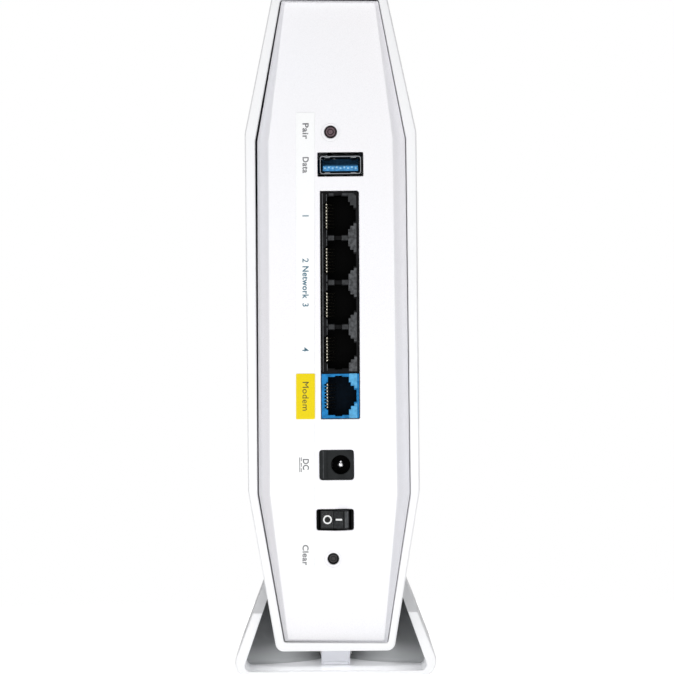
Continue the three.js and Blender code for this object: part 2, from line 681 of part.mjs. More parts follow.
// A finned block: fins upright along Z, growing along +X from a base plate.
function heatSink(width, height, base, finHeight, fins) {
  const thickness = 1.6;
  const profile = [[0, -width / 2]];
  const pitch = (width - thickness) / (fins - 1);
  for (let i = 0; i < fins; i++) {
    const from = -width / 2 + i * pitch;
    profile.push([base + finHeight, from], [base + finHeight, from + thickness]);
    if (i < fins - 1) profile.push([base, from + thickness], [base, from + pitch]);
  }
  profile.push([0, width / 2]);
  return extrude(new THREE.Shape(polygon(profile)), "z", -height / 2, height / 2);
}

function electrolytic() {
  return lathe([[0, 0], [3.6, 0], [4, 0.4], [4, 11.6], [3.6, 12], [0, 12]], "z", 20).rotateY(Math.PI / 2);
}

// A pan-head machine screw along +Z, head down, with a cross recess.
function screw(shaftLength) {
  const turned = lathe(
    [
      [0, 0], [SCREW_HEAD_RADIUS - 0.7, 0], [SCREW_HEAD_RADIUS, 0.5],
      [SCREW_HEAD_RADIUS, SCREW_HEAD], [SCREW_SHAFT, SCREW_HEAD],
      [SCREW_SHAFT, SCREW_HEAD + shaftLength], [0, SCREW_HEAD + shaftLength],
    ],
    "z", 16,
  );
  const slot = (halfX, halfY) => box(-halfX, halfX, -halfY, halfY, -1, 1.0);
  return cut(turned, slot(1.4, 0.28), slot(0.28, 1.4));
}

// A flat stamped antenna element with a folded arm.
function antennaElement(length) {
  const half = length / 2;
  const outline = new THREE.Shape(
    polygon([
      [-half, -5], [half, -5], [half, 5], [4, 5], [4, 1.4], [half - 3, 1.4],
      [half - 3, -1.8], [3 - half, -1.8], [3 - half, 1.4], [-4, 1.4], [-4, 5], [-half, 5],
    ]),
  );
  return extrude(outline, "x", 0, ANTENNA_THICKNESS);
}

// A clear bar from the window in the sleeve's front face back to the light on the board's edge.
function statusLightPipe() {
  const fit = 0.15;
  const half = LIGHT.halfWidth - fit;
  const halfHeight = LIGHT.halfHeight - fit;
  const face = FRONT - 0.1;
  const tail = BOARD_FRONT + CLEARANCE;
  const tailLeft = BOARD_FACE + 0.4;
  const outline = new THREE.Shape(
    polygon([
      [half, face], [-half, face], [-half, FRONT - 8], [tailLeft, FRONT - 12],
      [tailLeft, tail], [tailLeft + 2, tail], [half, FRONT - 10],
    ]),
  );
  return extrude(outline, "z", LIGHT.z - halfHeight, LIGHT.z + halfHeight);
}

// ---------------------------------------------------------------- stand
// Seen from the rear it is a flat-bottomed A: a floor and two wings that lean in against the sleeve.
const WING_LEAN = 0.385; // the outer face moves in by this much for each unit of height
const WING_LEAN_INSIDE = 0.352;
const WING_TOP = 32.2;
const WING_BEND_Z = 21.9; // above this the wings' end edges slope towards the middle
const WING_SLOPE_RUN = 24;
const WING_MIDDLE_Z = 13.2;
const SADDLE = { halfLength: 30, halfWaist: 5.2, bulge: [9.5, 22], reach: 28 };
const SCREW_HEAD_SEAT = STAND_UNDERSIDE + 1.9; // the stand's screws sit flush in its underside
const FEET = [[-24, -54], [24, -54], [-24, 54], [24, 54]];
const FOOT = { radius: 4.5, recess: 0.5 };
const wingOutside = (z) => 29.9 - WING_LEAN * (z - WING_MIDDLE_Z);
const wingInside = (z) => 26.35 - WING_LEAN_INSIDE * (z - WING_MIDDLE_Z);

function stand() {
  const end = STAND_DEPTH / 2;
  const outside = rounded(
    polygon([
      [wingOutside(STAND_UNDERSIDE), STAND_UNDERSIDE],
      [wingOutside(WING_TOP), WING_TOP],
      [-wingOutside(WING_TOP), WING_TOP],
      [-wingOutside(STAND_UNDERSIDE), STAND_UNDERSIDE],
    ]),
    [5.5, 0.5, 0.5, 5.5],
  );
  const inside = rounded(
    polygon([
      [wingInside(STAND_FLOOR), STAND_FLOOR],
      [wingInside(WING_TOP + 2), WING_TOP + 2],
      [-wingInside(WING_TOP + 2), WING_TOP + 2],
      [-wingInside(STAND_FLOOR), STAND_FLOOR],
    ]),
    [1.6, 0.5, 0.5, 1.6],
  );
  const block = extrude(outside, "y", -end, end, 4);
  const trough = cut(block, extrude(inside, "y", -end - 1, end + 1, 3));
  // Waisted saddle walls close the trough half way along; a channel runs between them.
  const saddle = (side) => {
    const { halfLength, halfWaist, bulge, reach } = SADDLE;
    const plan = new THREE.Shape();
    plan.moveTo(side * (reach + 3), -halfLength);
    plan.lineTo(side * reach, -halfLength);
    plan.quadraticCurveTo(side * bulge[0], -bulge[1], side * halfWaist, 0);
    plan.quadraticCurveTo(side * bulge[0], bulge[1], side * reach, halfLength);
    plan.lineTo(side * (reach + 3), halfLength);
    plan.closePath();
    return common(extrude(plan, "z", STAND_FLOOR - 1, WING_TOP, 6), block);
  };
  const sleeveSpace = extrude(sleeveShape(-CLEARANCE), "y", -end - 1, end + 1, 3);
  const slopeCut = (side) =>
    extrude(
      new THREE.Shape(
        polygon([
          [side * (end + 1), WING_BEND_Z - 0.5],
          [side * (end + 1), WING_TOP + 3],
          [side * (end - WING_SLOPE_RUN), WING_TOP + 3],
        ]),
      ),
      "x", -40, 40,
    );
  const pocketRadius = FOOT.radius + CLEARANCE;
  const footPockets = FEET.map(([x, y]) =>
    cylinder(pocketRadius, "z", STAND_UNDERSIDE - 1, STAND_UNDERSIDE + FOOT.recess, x, y, 20),
  );
  const screwHoles = [-POST_Y, POST_Y].flatMap((y) => [
    cylinder(SCREW_SHAFT + CLEARANCE, "z", -1, STAND_FLOOR + 1, 0, y, 12),
    cylinder(SCREW_HEAD_RADIUS + 0.4, "z", -1, SCREW_HEAD_SEAT, 0, y, 16),
  ]);
  return cut(
    join(trough, saddle(-1), saddle(1)),
    sleeveSpace, slopeCut(-1), slopeCut(1), ...footPockets, ...screwHoles,
  );
}

function footPad() {
  const { radius } = FOOT;
  const top = STAND_UNDERSIDE + FOOT.recess - SEAM;
  return lathe([[0, 0], [radius - 0.4, 0], [radius, 0.4], [radius, top], [0, top]], "z", 20);
}

// A post between the stand's floor and the sleeve, on a wider base, drilled for its screw.
function post() {
  const half = POST_WIDTH / 2;
  const top = SLEEVE_BOTTOM - SEAM;
  const column = box(-half, half, -2.8, 2.8, STAND_FLOOR + SEAM, top);
  const base = box(-half + 0.5, half - 0.5, -3.6, 3.6, STAND_FLOOR + SEAM, STAND_FLOOR + 1.2);
  return cut(join(column, base), cylinder(SCREW_SHAFT + CLEARANCE, "z", 0, HEIGHT, 0, 0, 12));
}

// ---------------------------------------------------------------- assembly
const router = new THREE.Group();

// Adds a named mesh to a group, at a place in that group.
function add(group, name, geometry, material, x = 0, y = 0, z = 0) {
  const mesh = new THREE.Mesh(geometry, material);
  mesh.name = name;
  mesh.position.set(x, y, z);
  group.add(mesh);
  return mesh;
}

const casing = new THREE.Group();
add(casing, "outer_shell", outerShell(), MATERIAL.shell);
add(casing, "rear_panel", rearPanel(), MATERIAL.panel);
add(casing, "port_label", sticker(LABEL, 0), MATERIAL.label);
add(casing, "wan_label", sticker(WAN_LABEL, 1), MATERIAL.yellow);
add(casing, "chassis_tray", chassisTray(), MATERIAL.tray);
add(casing, "light_pipe", statusLightPipe(), MATERIAL.lightPipe);
router.add(casing);

const ports = new THREE.Group();
const lanBlock = jackHousing(JACK_SPLIT_Z + SEAM, JACK_BLOCK_TOP - 0.15, LAN_Z, [0.1, 0.1, 0.8, 0.3]);
add(ports, "lan_jack_block", lanBlock, MATERIAL.jackBlack);
const wanBlock = jackHousing(JACK_BLOCK_BOTTOM + 0.15, JACK_SPLIT_Z - SEAM, [WAN_Z], [0.3, 0.5, 0.1, 0.1]);
add(ports, "wan_jack", wanBlock, MATERIAL.jackBlue);
LAN_Z.forEach((z, port) => {
  add(ports, `lan_contacts_${port + 1}`, contactComb(), MATERIAL.gold, 0, 0, z);
});
add(ports, "wan_contacts", contactComb(), MATERIAL.gold, 0, 0, WAN_Z);
add(ports, "usb_shell", usbShell(), MATERIAL.steel);
add(ports, "usb_tongue", usbTongue(), MATERIAL.usbBlue);
add(ports, "dc_jack_body", dcJackBody(), MATERIAL.darkPlastic);
add(ports, "dc_jack_pin", dcJackPin(), MATERIAL.steel);
add(ports, "dc_jack_spring", dcJackSpring(), MATERIAL.steel);
router.add(ports);

const controls = new THREE.Group();
add(controls, "switch_body", switchBody(), MATERIAL.darkPlastic);
add(controls, "switch_rocker", switchRocker(), MATERIAL.darkPlastic, SWITCH.x, PIVOT_Y, SWITCH.z);
[["pair", PAIR_BUTTON], ["reset", RESET_BUTTON]].forEach(([name, button]) => {
  add(controls, `${name}_button`, pushButton(button), MATERIAL.button, button.x, 0, button.z);
  add(controls, `${name}_plunger`, tactPlunger(), MATERIAL.component, button.x, 0, button.z);
  add(controls, `${name}_tact_switch`, tactSwitch(button), MATERIAL.component, button.x, 0, button.z);
});
router.add(controls);

const electronics = new THREE.Group();
const ON_BOARD = BOARD_FACE + SEAM;
add(electronics, "main_board", mainBoard(), MATERIAL.board);
add(electronics, "processor_shield", shieldCan(46, 46), MATERIAL.steel, ON_BOARD, 10, 118);
add(electronics, "radio_shield_low", shieldCan(34, 44), MATERIAL.steel, ON_BOARD, 10, 54);
add(electronics, "radio_shield_high", shieldCan(34, 34), MATERIAL.steel, ON_BOARD, 10, 184);
const ON_SHIELD = ON_BOARD + SHIELD_HEIGHT + SEAM;
const SINK_X = ON_SHIELD + 1 + SEAM;
add(electronics, "thermal_pad", box(0, 1, -20, 20, -20, 20), MATERIAL.pad, ON_SHIELD, 10, 118);
add(electronics, "heat_sink", heatSink(64, 92, 2.6, 15, 9), MATERIAL.aluminium, SINK_X, 10, 118);
add(electronics, "back_thermal_pad", box(-1, 0, -20, 20, -20, 20), MATERIAL.pad, BOARD_X - SEAM, 10, 118);
const backSink = heatSink(60, 90, 2, 8, 8).rotateZ(Math.PI);
add(electronics, "back_heat_sink", backSink, MATERIAL.aluminium, BOARD_X - 1 - 2 * SEAM, 10, 118);
[139, 105].forEach((z, i) => {
  const transformer = extrude(roundedBox(-5.5, 5.5, -13, 13, 0.6), "x", 0, 6.2, 2);
  add(electronics, `network_transformer_${i + 1}`, transformer, MATERIAL.component, ON_BOARD, -62, z);
});
const inductor = extrude(roundedBox(-6, 6, -6, 6, 1.6), "x", 0, 6.5, 3);
add(electronics, "power_inductor", inductor, MATERIAL.component, ON_BOARD, -60, 74);
add(electronics, "power_capacitor", electrolytic(), MATERIAL.component, ON_BOARD, -60, 54);
const LED_HALF = 1.4;
const led = box(0, LED_HALF, -LED_HALF, LED_HALF, -1.6, 1.6);
add(electronics, "status_led", led, MATERIAL.lightPipe, ON_BOARD, BOARD_FRONT - LED_HALF, LIGHT.z);
BOARD_SCREWS.forEach(([y, z], i) => {
  const turned = screw(4.5).rotateY(-Math.PI / 2);
  add(electronics, `board_screw_${i + 1}`, turned, MATERIAL.steel, BOARD_FACE + SEAM + SCREW_HEAD, y, z);
});
router.add(electronics);

// Antennas lie flat on the tray; each has a thin coaxial lead to the board.
const antennas = new THREE.Group();
const ANTENNA_THICKNESS = 0.8;
const ON_TRAY_RIGHT = TRAY.right + SEAM;
const ON_TRAY_LEFT = TRAY.left - SEAM - ANTENNA_THICKNESS;
const LEAD_RADIUS = 0.6;
const RIGHT_LEAD_X = ON_TRAY_RIGHT + ANTENNA_THICKNESS + LEAD_RADIUS + SEAM;
const LEFT_LEAD_X = ON_TRAY_LEFT - LEAD_RADIUS - SEAM;
const SHIELD_TOP_X = ON_BOARD + SHIELD_HEIGHT + LEAD_RADIUS + 0.2;
const BOARD_BACK_X = BOARD_X - LEAD_RADIUS - 0.2;

const ANTENNAS = [
  {
    name: "front_low", place: [ON_TRAY_RIGHT, 79.5, 60], upright: true,
    route: [
      [RIGHT_LEAD_X, 79.5, 56], [-4.6, 78, 50], [-1.6, 68, 47], [-0.6, 46, 48], [SHIELD_TOP_X, 24, 52],
    ],
  },
  {
    name: "front_high", place: [ON_TRAY_RIGHT, 79.5, 142], upright: true,
    route: [
      [RIGHT_LEAD_X, 79.5, 138], [-4.6, 78, 133], [-1.6, 68, 134],
      [-0.6, 54, 152], [-0.6, 44, 174], [SHIELD_TOP_X, 24, 184],
    ],
  },
  {
    name: "left_low", place: [ON_TRAY_LEFT, 0, 36], upright: false,
    route: [
      [LEFT_LEAD_X, 6, 38], [-12.6, 10, 45], [-11.2, 14, 53], [-8.4, 15, 60], [BOARD_BACK_X, 15, 66],
    ],
  },
  {
    name: "left_high", place: [ON_TRAY_LEFT, 0, 196], upright: false,
    route: [
      [LEFT_LEAD_X, 6, 194], [-12.6, 10, 186], [-11.2, 14, 178], [-8.4, 15, 172], [BOARD_BACK_X, 15, 168],
    ],
  },
];
ANTENNAS.forEach(({ name, place, upright, route }) => {
  const element = antennaElement(46);
  if (upright) element.rotateX(Math.PI / 2);
  add(antennas, `antenna_${name}`, element, MATERIAL.gold, ...place);
  add(antennas, `antenna_lead_${name}`, tube(route, LEAD_RADIUS, 20), MATERIAL.lead);
});
router.add(antennas);

const base = new THREE.Group();
add(base, "stand", stand(), MATERIAL.stand);
[["rear", -POST_Y], ["front", POST_Y]].forEach(([name, y]) => {
  add(base, `${name}_post`, post(), MATERIAL.stand, 0, y, 0);
  add(base, `stand_screw_${name}`, screw(17), MATERIAL.steel, 0, y, SCREW_HEAD_SEAT - SEAM - SCREW_HEAD);
});
FEET.forEach(([x, y], i) => {
  add(base, `foot_${i + 1}`, footPad(), MATERIAL.rubber, x, y, 0);
});
router.add(base);

export default router;
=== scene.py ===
"""Looks for an upright wireless router on a winged stand, seen from its port side.

Lengths are millimetres in the CAD frame, and piece() turns them into metres: +X is to the right as the port
side is looked at, +Y runs from the ports to the closed front, and +Z is up from the table.
"""
import math

import bmesh
import bpy
from mathutils import Euler, Matrix, Vector


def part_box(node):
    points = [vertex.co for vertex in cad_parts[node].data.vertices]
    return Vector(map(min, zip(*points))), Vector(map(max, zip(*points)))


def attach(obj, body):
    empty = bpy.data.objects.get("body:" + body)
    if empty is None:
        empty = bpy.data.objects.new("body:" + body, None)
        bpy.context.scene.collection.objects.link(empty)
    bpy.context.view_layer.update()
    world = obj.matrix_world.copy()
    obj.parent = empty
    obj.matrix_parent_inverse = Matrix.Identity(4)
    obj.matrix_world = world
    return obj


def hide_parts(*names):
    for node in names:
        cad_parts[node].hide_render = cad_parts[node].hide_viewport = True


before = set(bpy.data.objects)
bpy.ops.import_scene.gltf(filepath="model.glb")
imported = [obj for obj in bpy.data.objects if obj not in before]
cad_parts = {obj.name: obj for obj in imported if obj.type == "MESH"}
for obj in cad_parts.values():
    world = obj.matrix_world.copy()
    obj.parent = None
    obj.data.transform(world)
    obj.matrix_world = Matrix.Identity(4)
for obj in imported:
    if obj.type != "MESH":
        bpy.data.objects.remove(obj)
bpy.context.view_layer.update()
MM = 0.001
FLOOR_RADIUS = 400


class Span:
    """The extent of a CAD node at rest, in millimetres."""

    def __init__(self, node):
        low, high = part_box(node)
        self.left, self.rear, self.low = (v / MM for v in low)
        self.right, self.front, self.high = (v / MM for v in high)
        self.x = (self.left + self.right) / 2
        self.y = (self.rear + self.front) / 2
        self.z = (self.low + self.high) / 2


SHELL = Span("outer_shell")
PANEL = Span("rear_panel")
STAND = Span("stand")
LAN = Span("lan_jack_block")
WAN = Span("wan_jack")
USB = Span("usb_shell")
DC = Span("dc_jack_body")
SWITCH = Span("switch_body")

# ---- driving dimensions
LOWER_CORNER = 61.8  # between these heights the sides are upright
UPPER_CORNER = 174.1
HALF_TOP = 17.5
HALF_BOTTOM = 18.4
HALF_WIDTH = SHELL.right
END_RADIUS = 2.6
SIDE_RADIUS = 9.0
WALL = 3.1
FRONT_CHAMFER = 4.5
FRONT_INSET = 3.6

# Corners as (X, Z), counter-clockwise from the lower right: the sleeve's mouth, and the panel in it.
MOUTH_CORNERS = [
    (16.5, 14.1), (24.05, 60.6), (23.68, 172.0), (15.42, 215.85),
    (-15.35, 215.95), (-23.72, 171.8), (-24.0, 61.1), (-16.1, 14.5),
]
PANEL_CORNERS = [
    (16.32, 14.02), (23.87, 60.6), (23.43, 172.0), (15.3, 215.45),
    (-15.0, 215.8), (-23.08, 171.8), (-23.66, 61.1), (-15.87, 14.65),
]
MOUTH_RADII = [0.8, 6.0, 6.0, 0.8] * 2
PANEL_FACE = PANEL.rear
PANEL_BACK = PANEL_FACE + 3.2
FACET_DROP = 2.6
FACET_WIDTHS = (3.4, 3.8)  # on the left and on the right
FACET_HOLLOW = 0.6  # the share of a facet's drop that steepens towards the ridge
FACET_END_DROP = 0.55
FACET_END_WIDTH = 0.9
PANEL_END_BEVEL = 0.5
TAB_FEET = (26, 188)  # where the snap tabs behind the panel start

JACK_X = 2.37
JACKS_LEFT = JACK_X - 5.78
JACKS_RIGHT = JACK_X + 6.08
JACK_FACE = LAN.rear
LAN_Z = [Span(f"lan_contacts_{port}").z for port in (1, 2, 3, 4)]
WAN_Z = Span("wan_contacts").z
WAN_LOW = WAN.low - 0.2
JACKS_TILT = 0.0045  # the column of jacks leans this far to the right for each millimetre up
JACKS_UPRIGHT_AT = 137.0

INLET_LEFT = -4.42
INLET_RIGHT = 6.27
PIVOT = Vector((SWITCH.x, PANEL_FACE + 1.6, SWITCH.z))
BUTTONS = {"pair": (1.75, 2.0, 2.85), "reset": (1.5, 1.8, 2.6)}  # radii of the cap, its hole and its groove
SCREW_Y = (-32.3, 32.3)  # the screws that hold the sleeve on the stand's posts

CAMERA_PLACE = (1.41, -1595, 110.1)
CAMERA_LENS = 255.66
CAMERA_ROLL = math.radians(-0.55)


# ---- scene and camera
def placed(name, data):
    """A new object in the scene that shows some data."""
    obj = bpy.data.objects.new(name, data)
    bpy.context.scene.collection.objects.link(obj)
    return obj


def add_camera():
    data = bpy.data.cameras.new("camera")
    data.sensor_width = 36
    data.lens = CAMERA_LENS
    data.clip_start = 0.1
    data.clip_end = 50
    camera = placed("camera", data)
    camera.location = Vector(CAMERA_PLACE) * MM
    level = Euler((math.pi / 2, 0, 0)).to_matrix()
    camera.rotation_euler = (level @ Matrix.Rotation(CAMERA_ROLL, 3, "Z")).to_euler()
    bpy.context.scene.camera = camera


add_camera()


# ---- outlines
def moved_in(points, distance):
    """Moves every edge of a counter-clockwise outline inwards by a distance."""
    count = len(points)
    edges = []
    for i, point in enumerate(points):
        start, end = Vector(point), Vector(points[(i + 1) % count])
        along = (end - start).normalized()
        inward = Vector((-along.y, along.x))
        edges.append((start + inward * distance, along))
    corners = []
    for i, (start, along) in enumerate(edges):
        before, before_along = edges[i - 1]
        cross = before_along.cross(along)
        if abs(cross) < 1e-9:
            corners.append(start)
            continue
        corners.append(before + before_along * ((start - before).cross(along) / cross))
    return corners


def rounded(points, radii, inward=0.0, steps=6):
    """The ring of points round an outline whose corners are arcs. Moved inwards it has as many points."""
    count = len(points)
    radii = radii if isinstance(radii, (list, tuple)) else [radii] * count
    corners = moved_in(points, inward)
    ring = []
    for i, corner in enumerate(corners):
        to_before = (corners[i - 1] - corner).normalized()
        to_after = (corners[(i + 1) % count] - corner).normalized()
        convex = to_after.cross(to_before) > 0
        radius = max(radii[i] - inward if convex else radii[i] + inward, 0.01)
        half = to_before.angle(to_after) / 2
        centre = corner + (to_before + to_after).normalized() * radius / math.sin(half)
        first = corner + to_before * radius / math.tan(half) - centre
        last = corner + to_after * radius / math.tan(half) - centre
        turn = first.angle(last)
        for step in range(steps + 1):
            share = step / steps
            a = math.sin((1 - share) * turn) / math.sin(turn)
            b = math.sin(share * turn) / math.sin(turn)
            ring.append(centre + first * a + last * b)
    return ring


def outline_of(points, radii, steps=6):
    """The function that swept() and opening() need of an outline: its ring at an inset."""
    return lambda inset: rounded(points, radii, inset, steps)


def round_outline(x, z, radius, sides=48):
    return lambda inset: circle(x, z, radius - inset, sides)


def rectangle(x0, x1, z0, z1):
    return [(x0, z0), (x1, z0), (x1, z1), (x0, z1)]


def around(sides):
    """The angles of evenly spaced points round a circle."""
    return [2 * math.pi * i / sides for i in range(sides)]


def circle(x, z, radius, sides=48):
    return [Vector((x + radius * math.cos(a), z + radius * math.sin(a))) for a in around(sides)]


def edge_round(radius, steps=5):
    """(inset, depth) pairs of a quarter round on an outer edge, from the end face to the side."""
    turns = [math.pi / 2 * step / steps for step in range(steps + 1)]
    return [(radius * (1 - math.sin(a)), radius * (1 - math.cos(a))) for a in turns]


def end_stations(start, end, round_start=0.0, round_end=0.0):
    """(inset, position) pairs from one end of a block to the other, past the rounds of its end edges."""
    stations = [(0, start)]
    if round_start:
        stations = [(inset, start + depth) for inset, depth in edge_round(round_start)]
    if not round_end:
        return stations + [(0, end)]
    return stations + [(inset, end - depth) for inset, depth in reversed(edge_round(round_end))]


# ---- solids
AXES = {"y": lambda p, at: (p.x, at, p.y), "z": lambda p, at: (p.x, p.y, at)}


def loft(rings, closed=False):
    """A solid through rings of as many 3-D points each. Closed, it runs round to its start."""
    bm = bmesh.new()
    rows = [[bm.verts.new(p) for p in ring] for ring in rings]
    pairs = list(zip(rows, rows[1:]))
    if closed:
        pairs.append((rows[-1], rows[0]))
    else:
        bm.faces.new(rows[0])
        bm.faces.new(rows[-1])
    for a, b in pairs:
        for i in range(len(a)):
            j = (i + 1) % len(a)
            bm.faces.new((a[i], a[j], b[j], b[i]))
    bmesh.ops.recalc_face_normals(bm, faces=bm.faces)
    return bm


def swept(ring, axis, stations, closed=False):
    """A loft along an axis: ring(inset) gives its 2-D outline, and stations are (inset, position) pairs."""
    place = AXES[axis]
    return loft([[place(p, at) for p in ring(inset)] for inset, at in stations], closed)


def block(points, radii, axis, start, end, round_start=0.0, round_end=0.0, steps=6):
    """An outline with rounded corners swept along an axis, its two end edges rounded."""
    stations = end_stations(start, end, round_start, round_end)
    return swept(outline_of(points, radii, steps), axis, stations)


def slab(x0, x1, z0, z1, radius, start, end, round_start=0.0, round_end=0.0):
    """A block on a rectangle in X and Z that runs along Y."""
    return block(rectangle(x0, x1, z0, z1), radius, "y", start, end, round_start, round_end)


def opening(ring, axis, face, end, flare):
    """A cutter that goes in at a face, leaves its mouth's edge rounded, and runs on to its end."""
    inward = 1 if end > face else -1
    stations = [(-flare, face - inward)]
    stations += [(-inset, face + inward * depth) for inset, depth in edge_round(flare, 4)]
    stations.append((0, end))
    return swept(ring, axis, stations)


def turned(profile, axis, centre, sides=48):
    """A solid of revolution from (radius, position) pairs; its two ends close on the axis."""
    a, b = centre
    rings = [circle(a, b, max(radius, 0.005), sides) for radius, _ in profile]
    place = AXES[axis]
    return loft([[place(p, at) for p in ring] for ring, (_, at) in zip(rings, profile)])


def tube(path, radius, sides=12):
    """A round tube along a path in a plane of constant Z."""
    points = [Vector(p) for p in path]
    rings = []
    for i, point in enumerate(points):
        ahead = points[min(i + 1, len(points) - 1)] - points[max(i - 1, 0)]
        across = Vector((-ahead.y, ahead.x, 0)).normalized()
        around_it = [across * math.cos(a) + Vector((0, 0, math.sin(a))) for a in around(sides)]
        rings.append([point + out * radius for out in around_it])
    return loft(rings)


def as_mesh(bm, name="part"):
    """Turns a bmesh into a mesh, and frees it."""
    mesh = bpy.data.meshes.new(name)
    bm.to_mesh(mesh)
    bm.free()
    return mesh


def taken_up(mesh, bm=None):
    """Adds a mesh to a bmesh, or to a new one, and removes it."""
    bm = bmesh.new() if bm is None else bm
    bm.from_mesh(mesh)
    bpy.data.meshes.remove(mesh)
    return bm


def evaluated(obj):
    """A new mesh of an object as its modifiers or its lettering make it."""
    graph = bpy.context.evaluated_depsgraph_get()
    return bpy.data.meshes.new_from_object(obj.evaluated_get(graph))


def together(*parts):
    """One mesh that holds several that don't touch."""
    whole = bmesh.new()
    for part in parts:
        taken_up(as_mesh(part), whole)
    return whole


def boolean(body, operation, tools):
    """A body after each tool is cut away from it or joined to it, or the room where the two meet."""
    objects = [placed("part", as_mesh(part)) for part in (body, *tools)]
    target = objects[0]
    for tool in objects[1:]:
        modifier = target.modifiers.new("boolean", "BOOLEAN")
        modifier.operation = operation
        modifier.solver = "EXACT"
        modifier.object = tool
    result = taken_up(evaluated(target))
    for obj in objects:
        mesh = obj.data
        bpy.data.objects.remove(obj)
        bpy.data.meshes.remove(mesh)
    bmesh.ops.remove_doubles(result, verts=result.verts, dist=0.002)
    return result


def cut(body, *tools):
    return boolean(body, "DIFFERENCE", tools)


def join(body, *tools):
    return boolean(body, "UNION", tools)


def common(body, tool):
    return boolean(body, "INTERSECT", [tool])


# ---- pieces
def smooth(obj, angle=32):
    """Shades smoothly across edges below the angle, and keeps large flat faces flat."""
    obj.data.shade_smooth()
    obj.data.set_sharp_from_angle(angle=math.radians(angle))
    modifier = obj.modifiers.new("flat_faces", "WEIGHTED_NORMAL")
    modifier.keep_sharp = True
    modifier.weight = 80


def piece(name, bm, material, slot, stands_for=(), body="root"):
    """Turns a mesh made in millimetres into a piece of the router that rides on a body."""
    bmesh.ops.scale(bm, vec=Vector((MM, MM, MM)), verts=bm.verts)
    bmesh.ops.recalc_face_normals(bm, faces=bm.faces)
    obj = placed(name, as_mesh(bm, name))
    obj.data.materials.append(material)
    smooth(obj)
    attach(obj, body)
    if stands_for:
        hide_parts(*stands_for)


# ---- materials
def add_node(tree, kind, **inputs):
    node = tree.nodes.new(kind)
    for socket, value in inputs.items():
        node.inputs[socket.replace("_", " ")].default_value = value
    return node


class Finish:
    """A principled material under construction, with its pattern nodes in the object's own coordinates."""

    def __init__(self, name, roughness, **constants):
        self.material = bpy.data.materials.new(name)
        self.material.use_nodes = True
        self.tree = self.material.node_tree
        self.shader = self.tree.nodes["Principled BSDF"]
        self.place = self.add("ShaderNodeTexCoord").outputs["Object"]
        self.roughness = roughness
        for socket, value in constants.items():
            self.shader.inputs[socket.replace("_", " ")].default_value = value

    def add(self, kind, **inputs):
        return add_node(self.tree, kind, **inputs)

    def link(self, source, target):
        self.tree.links.new(source, target)

    def noise(self, size, detail=2.0, stretch=(1, 1, 1)):
        """A noise whose features are about size millimetres, stretched along the axes."""
        mapping = self.add("ShaderNodeMapping", Scale=stretch)
        texture = self.add("ShaderNodeTexNoise", Scale=1 / (size * MM), Detail=detail)
        self.link(self.place, mapping.inputs["Vector"])
        self.link(mapping.outputs["Vector"], texture.inputs["Vector"])
        return texture.outputs["Fac"]

    def ramp(self, factor, low, high, first, last):
        """Blends from the first colour to the last as the factor goes from low to high."""
        node = self.add("ShaderNodeValToRGB")
        node.color_ramp.elements[0].position = low
        node.color_ramp.elements[1].position = high
        node.color_ramp.elements[0].color = (*first, 1)
        node.color_ramp.elements[1].color = (*last, 1)
        self.link(factor, node.inputs["Fac"])
        return node.outputs["Color"]

    def faded(self, colour, axis, start, end, share):
        """Painted shade: scales a colour down from all of it at one place along an axis to a share of it at
        another.
        """
        split = self.add("ShaderNodeSeparateXYZ")
        self.link(self.place, split.inputs["Vector"])
        reach = {"From_Min": start * MM, "From_Max": end * MM, "To_Min": 1, "To_Max": share}
        fall = self.add("ShaderNodeMapRange", **reach)
        fall.interpolation_type = "SMOOTHSTEP"
        self.link(split.outputs[axis], fall.inputs["Value"])
        scale = self.add("ShaderNodeVectorMath")
        scale.operation = "SCALE"
        self.link(colour, scale.inputs[0])
        self.link(fall.outputs["Result"], scale.inputs["Scale"])
        return scale.outputs["Vector"]

    def colour(self, source):
        self.link(source, self.shader.inputs["Base Color"])

    def vary_roughness(self, factor, spread):
        low, high = self.roughness - spread, self.roughness + spread
        node = self.add("ShaderNodeMapRange", To_Min=low, To_Max=high)
        self.link(factor, node.inputs["Value"])
        self.link(node.outputs["Result"], self.shader.inputs["Roughness"])

    def bump(self, factor, strength, depth):
        node = self.add("ShaderNodeBump", Strength=strength, Distance=depth * MM)
        self.link(factor, node.inputs["Height"])
        self.link(node.outputs["Normal"], self.shader.inputs["Normal"])


def shade(colour, share):
    return tuple(min(c * share, 1.0) for c in colour)


def moulded(
    name, colour, roughness, spread=0.02, cloud=24, grain=0.35, strength=0.12, fade=None, tints=None,
    **constants,
):
    """Injection-moulded plastic: a faint cloudiness, and the fine spark texture of the tool.

    A fade (axis, start, end, share) paints shade into it: it darkens it along an axis to a share of its
    colour, as the shade inside a deep socket looks. Two tints replace the plain cloudiness.
    """
    finish = Finish(name, roughness, **constants)
    clouds = finish.noise(cloud, 3)
    fine = finish.noise(grain, 2)
    first, last = tints or (shade(colour, 1 - spread), shade(colour, 1 + spread))
    base = finish.ramp(clouds, 0.35, 0.65, first, last)
    # painted shade: the fade darkens the colour along an axis, deeper into a socket, a port or a groove
    if fade:
        base = finish.faded(base, *fade)
    finish.colour(base)
    finish.vary_roughness(fine, 0.06)
    finish.bump(fine, strength, 0.02)
    return finish.material


def sheet_metal(name, colour, roughness, stretch=(1, 14, 1), size=1.2, **constants):
    """Pressed or drawn metal with fine lines along one axis."""
    finish = Finish(name, roughness, Metallic=1.0, **constants)
    lines = finish.noise(size, 4, stretch)
    finish.colour(finish.ramp(lines, 0.3, 0.7, shade(colour, 0.86), shade(colour, 1.08)))
    finish.vary_roughness(lines, 0.08)
    finish.bump(lines, 0.1, 0.01)
    return finish.material


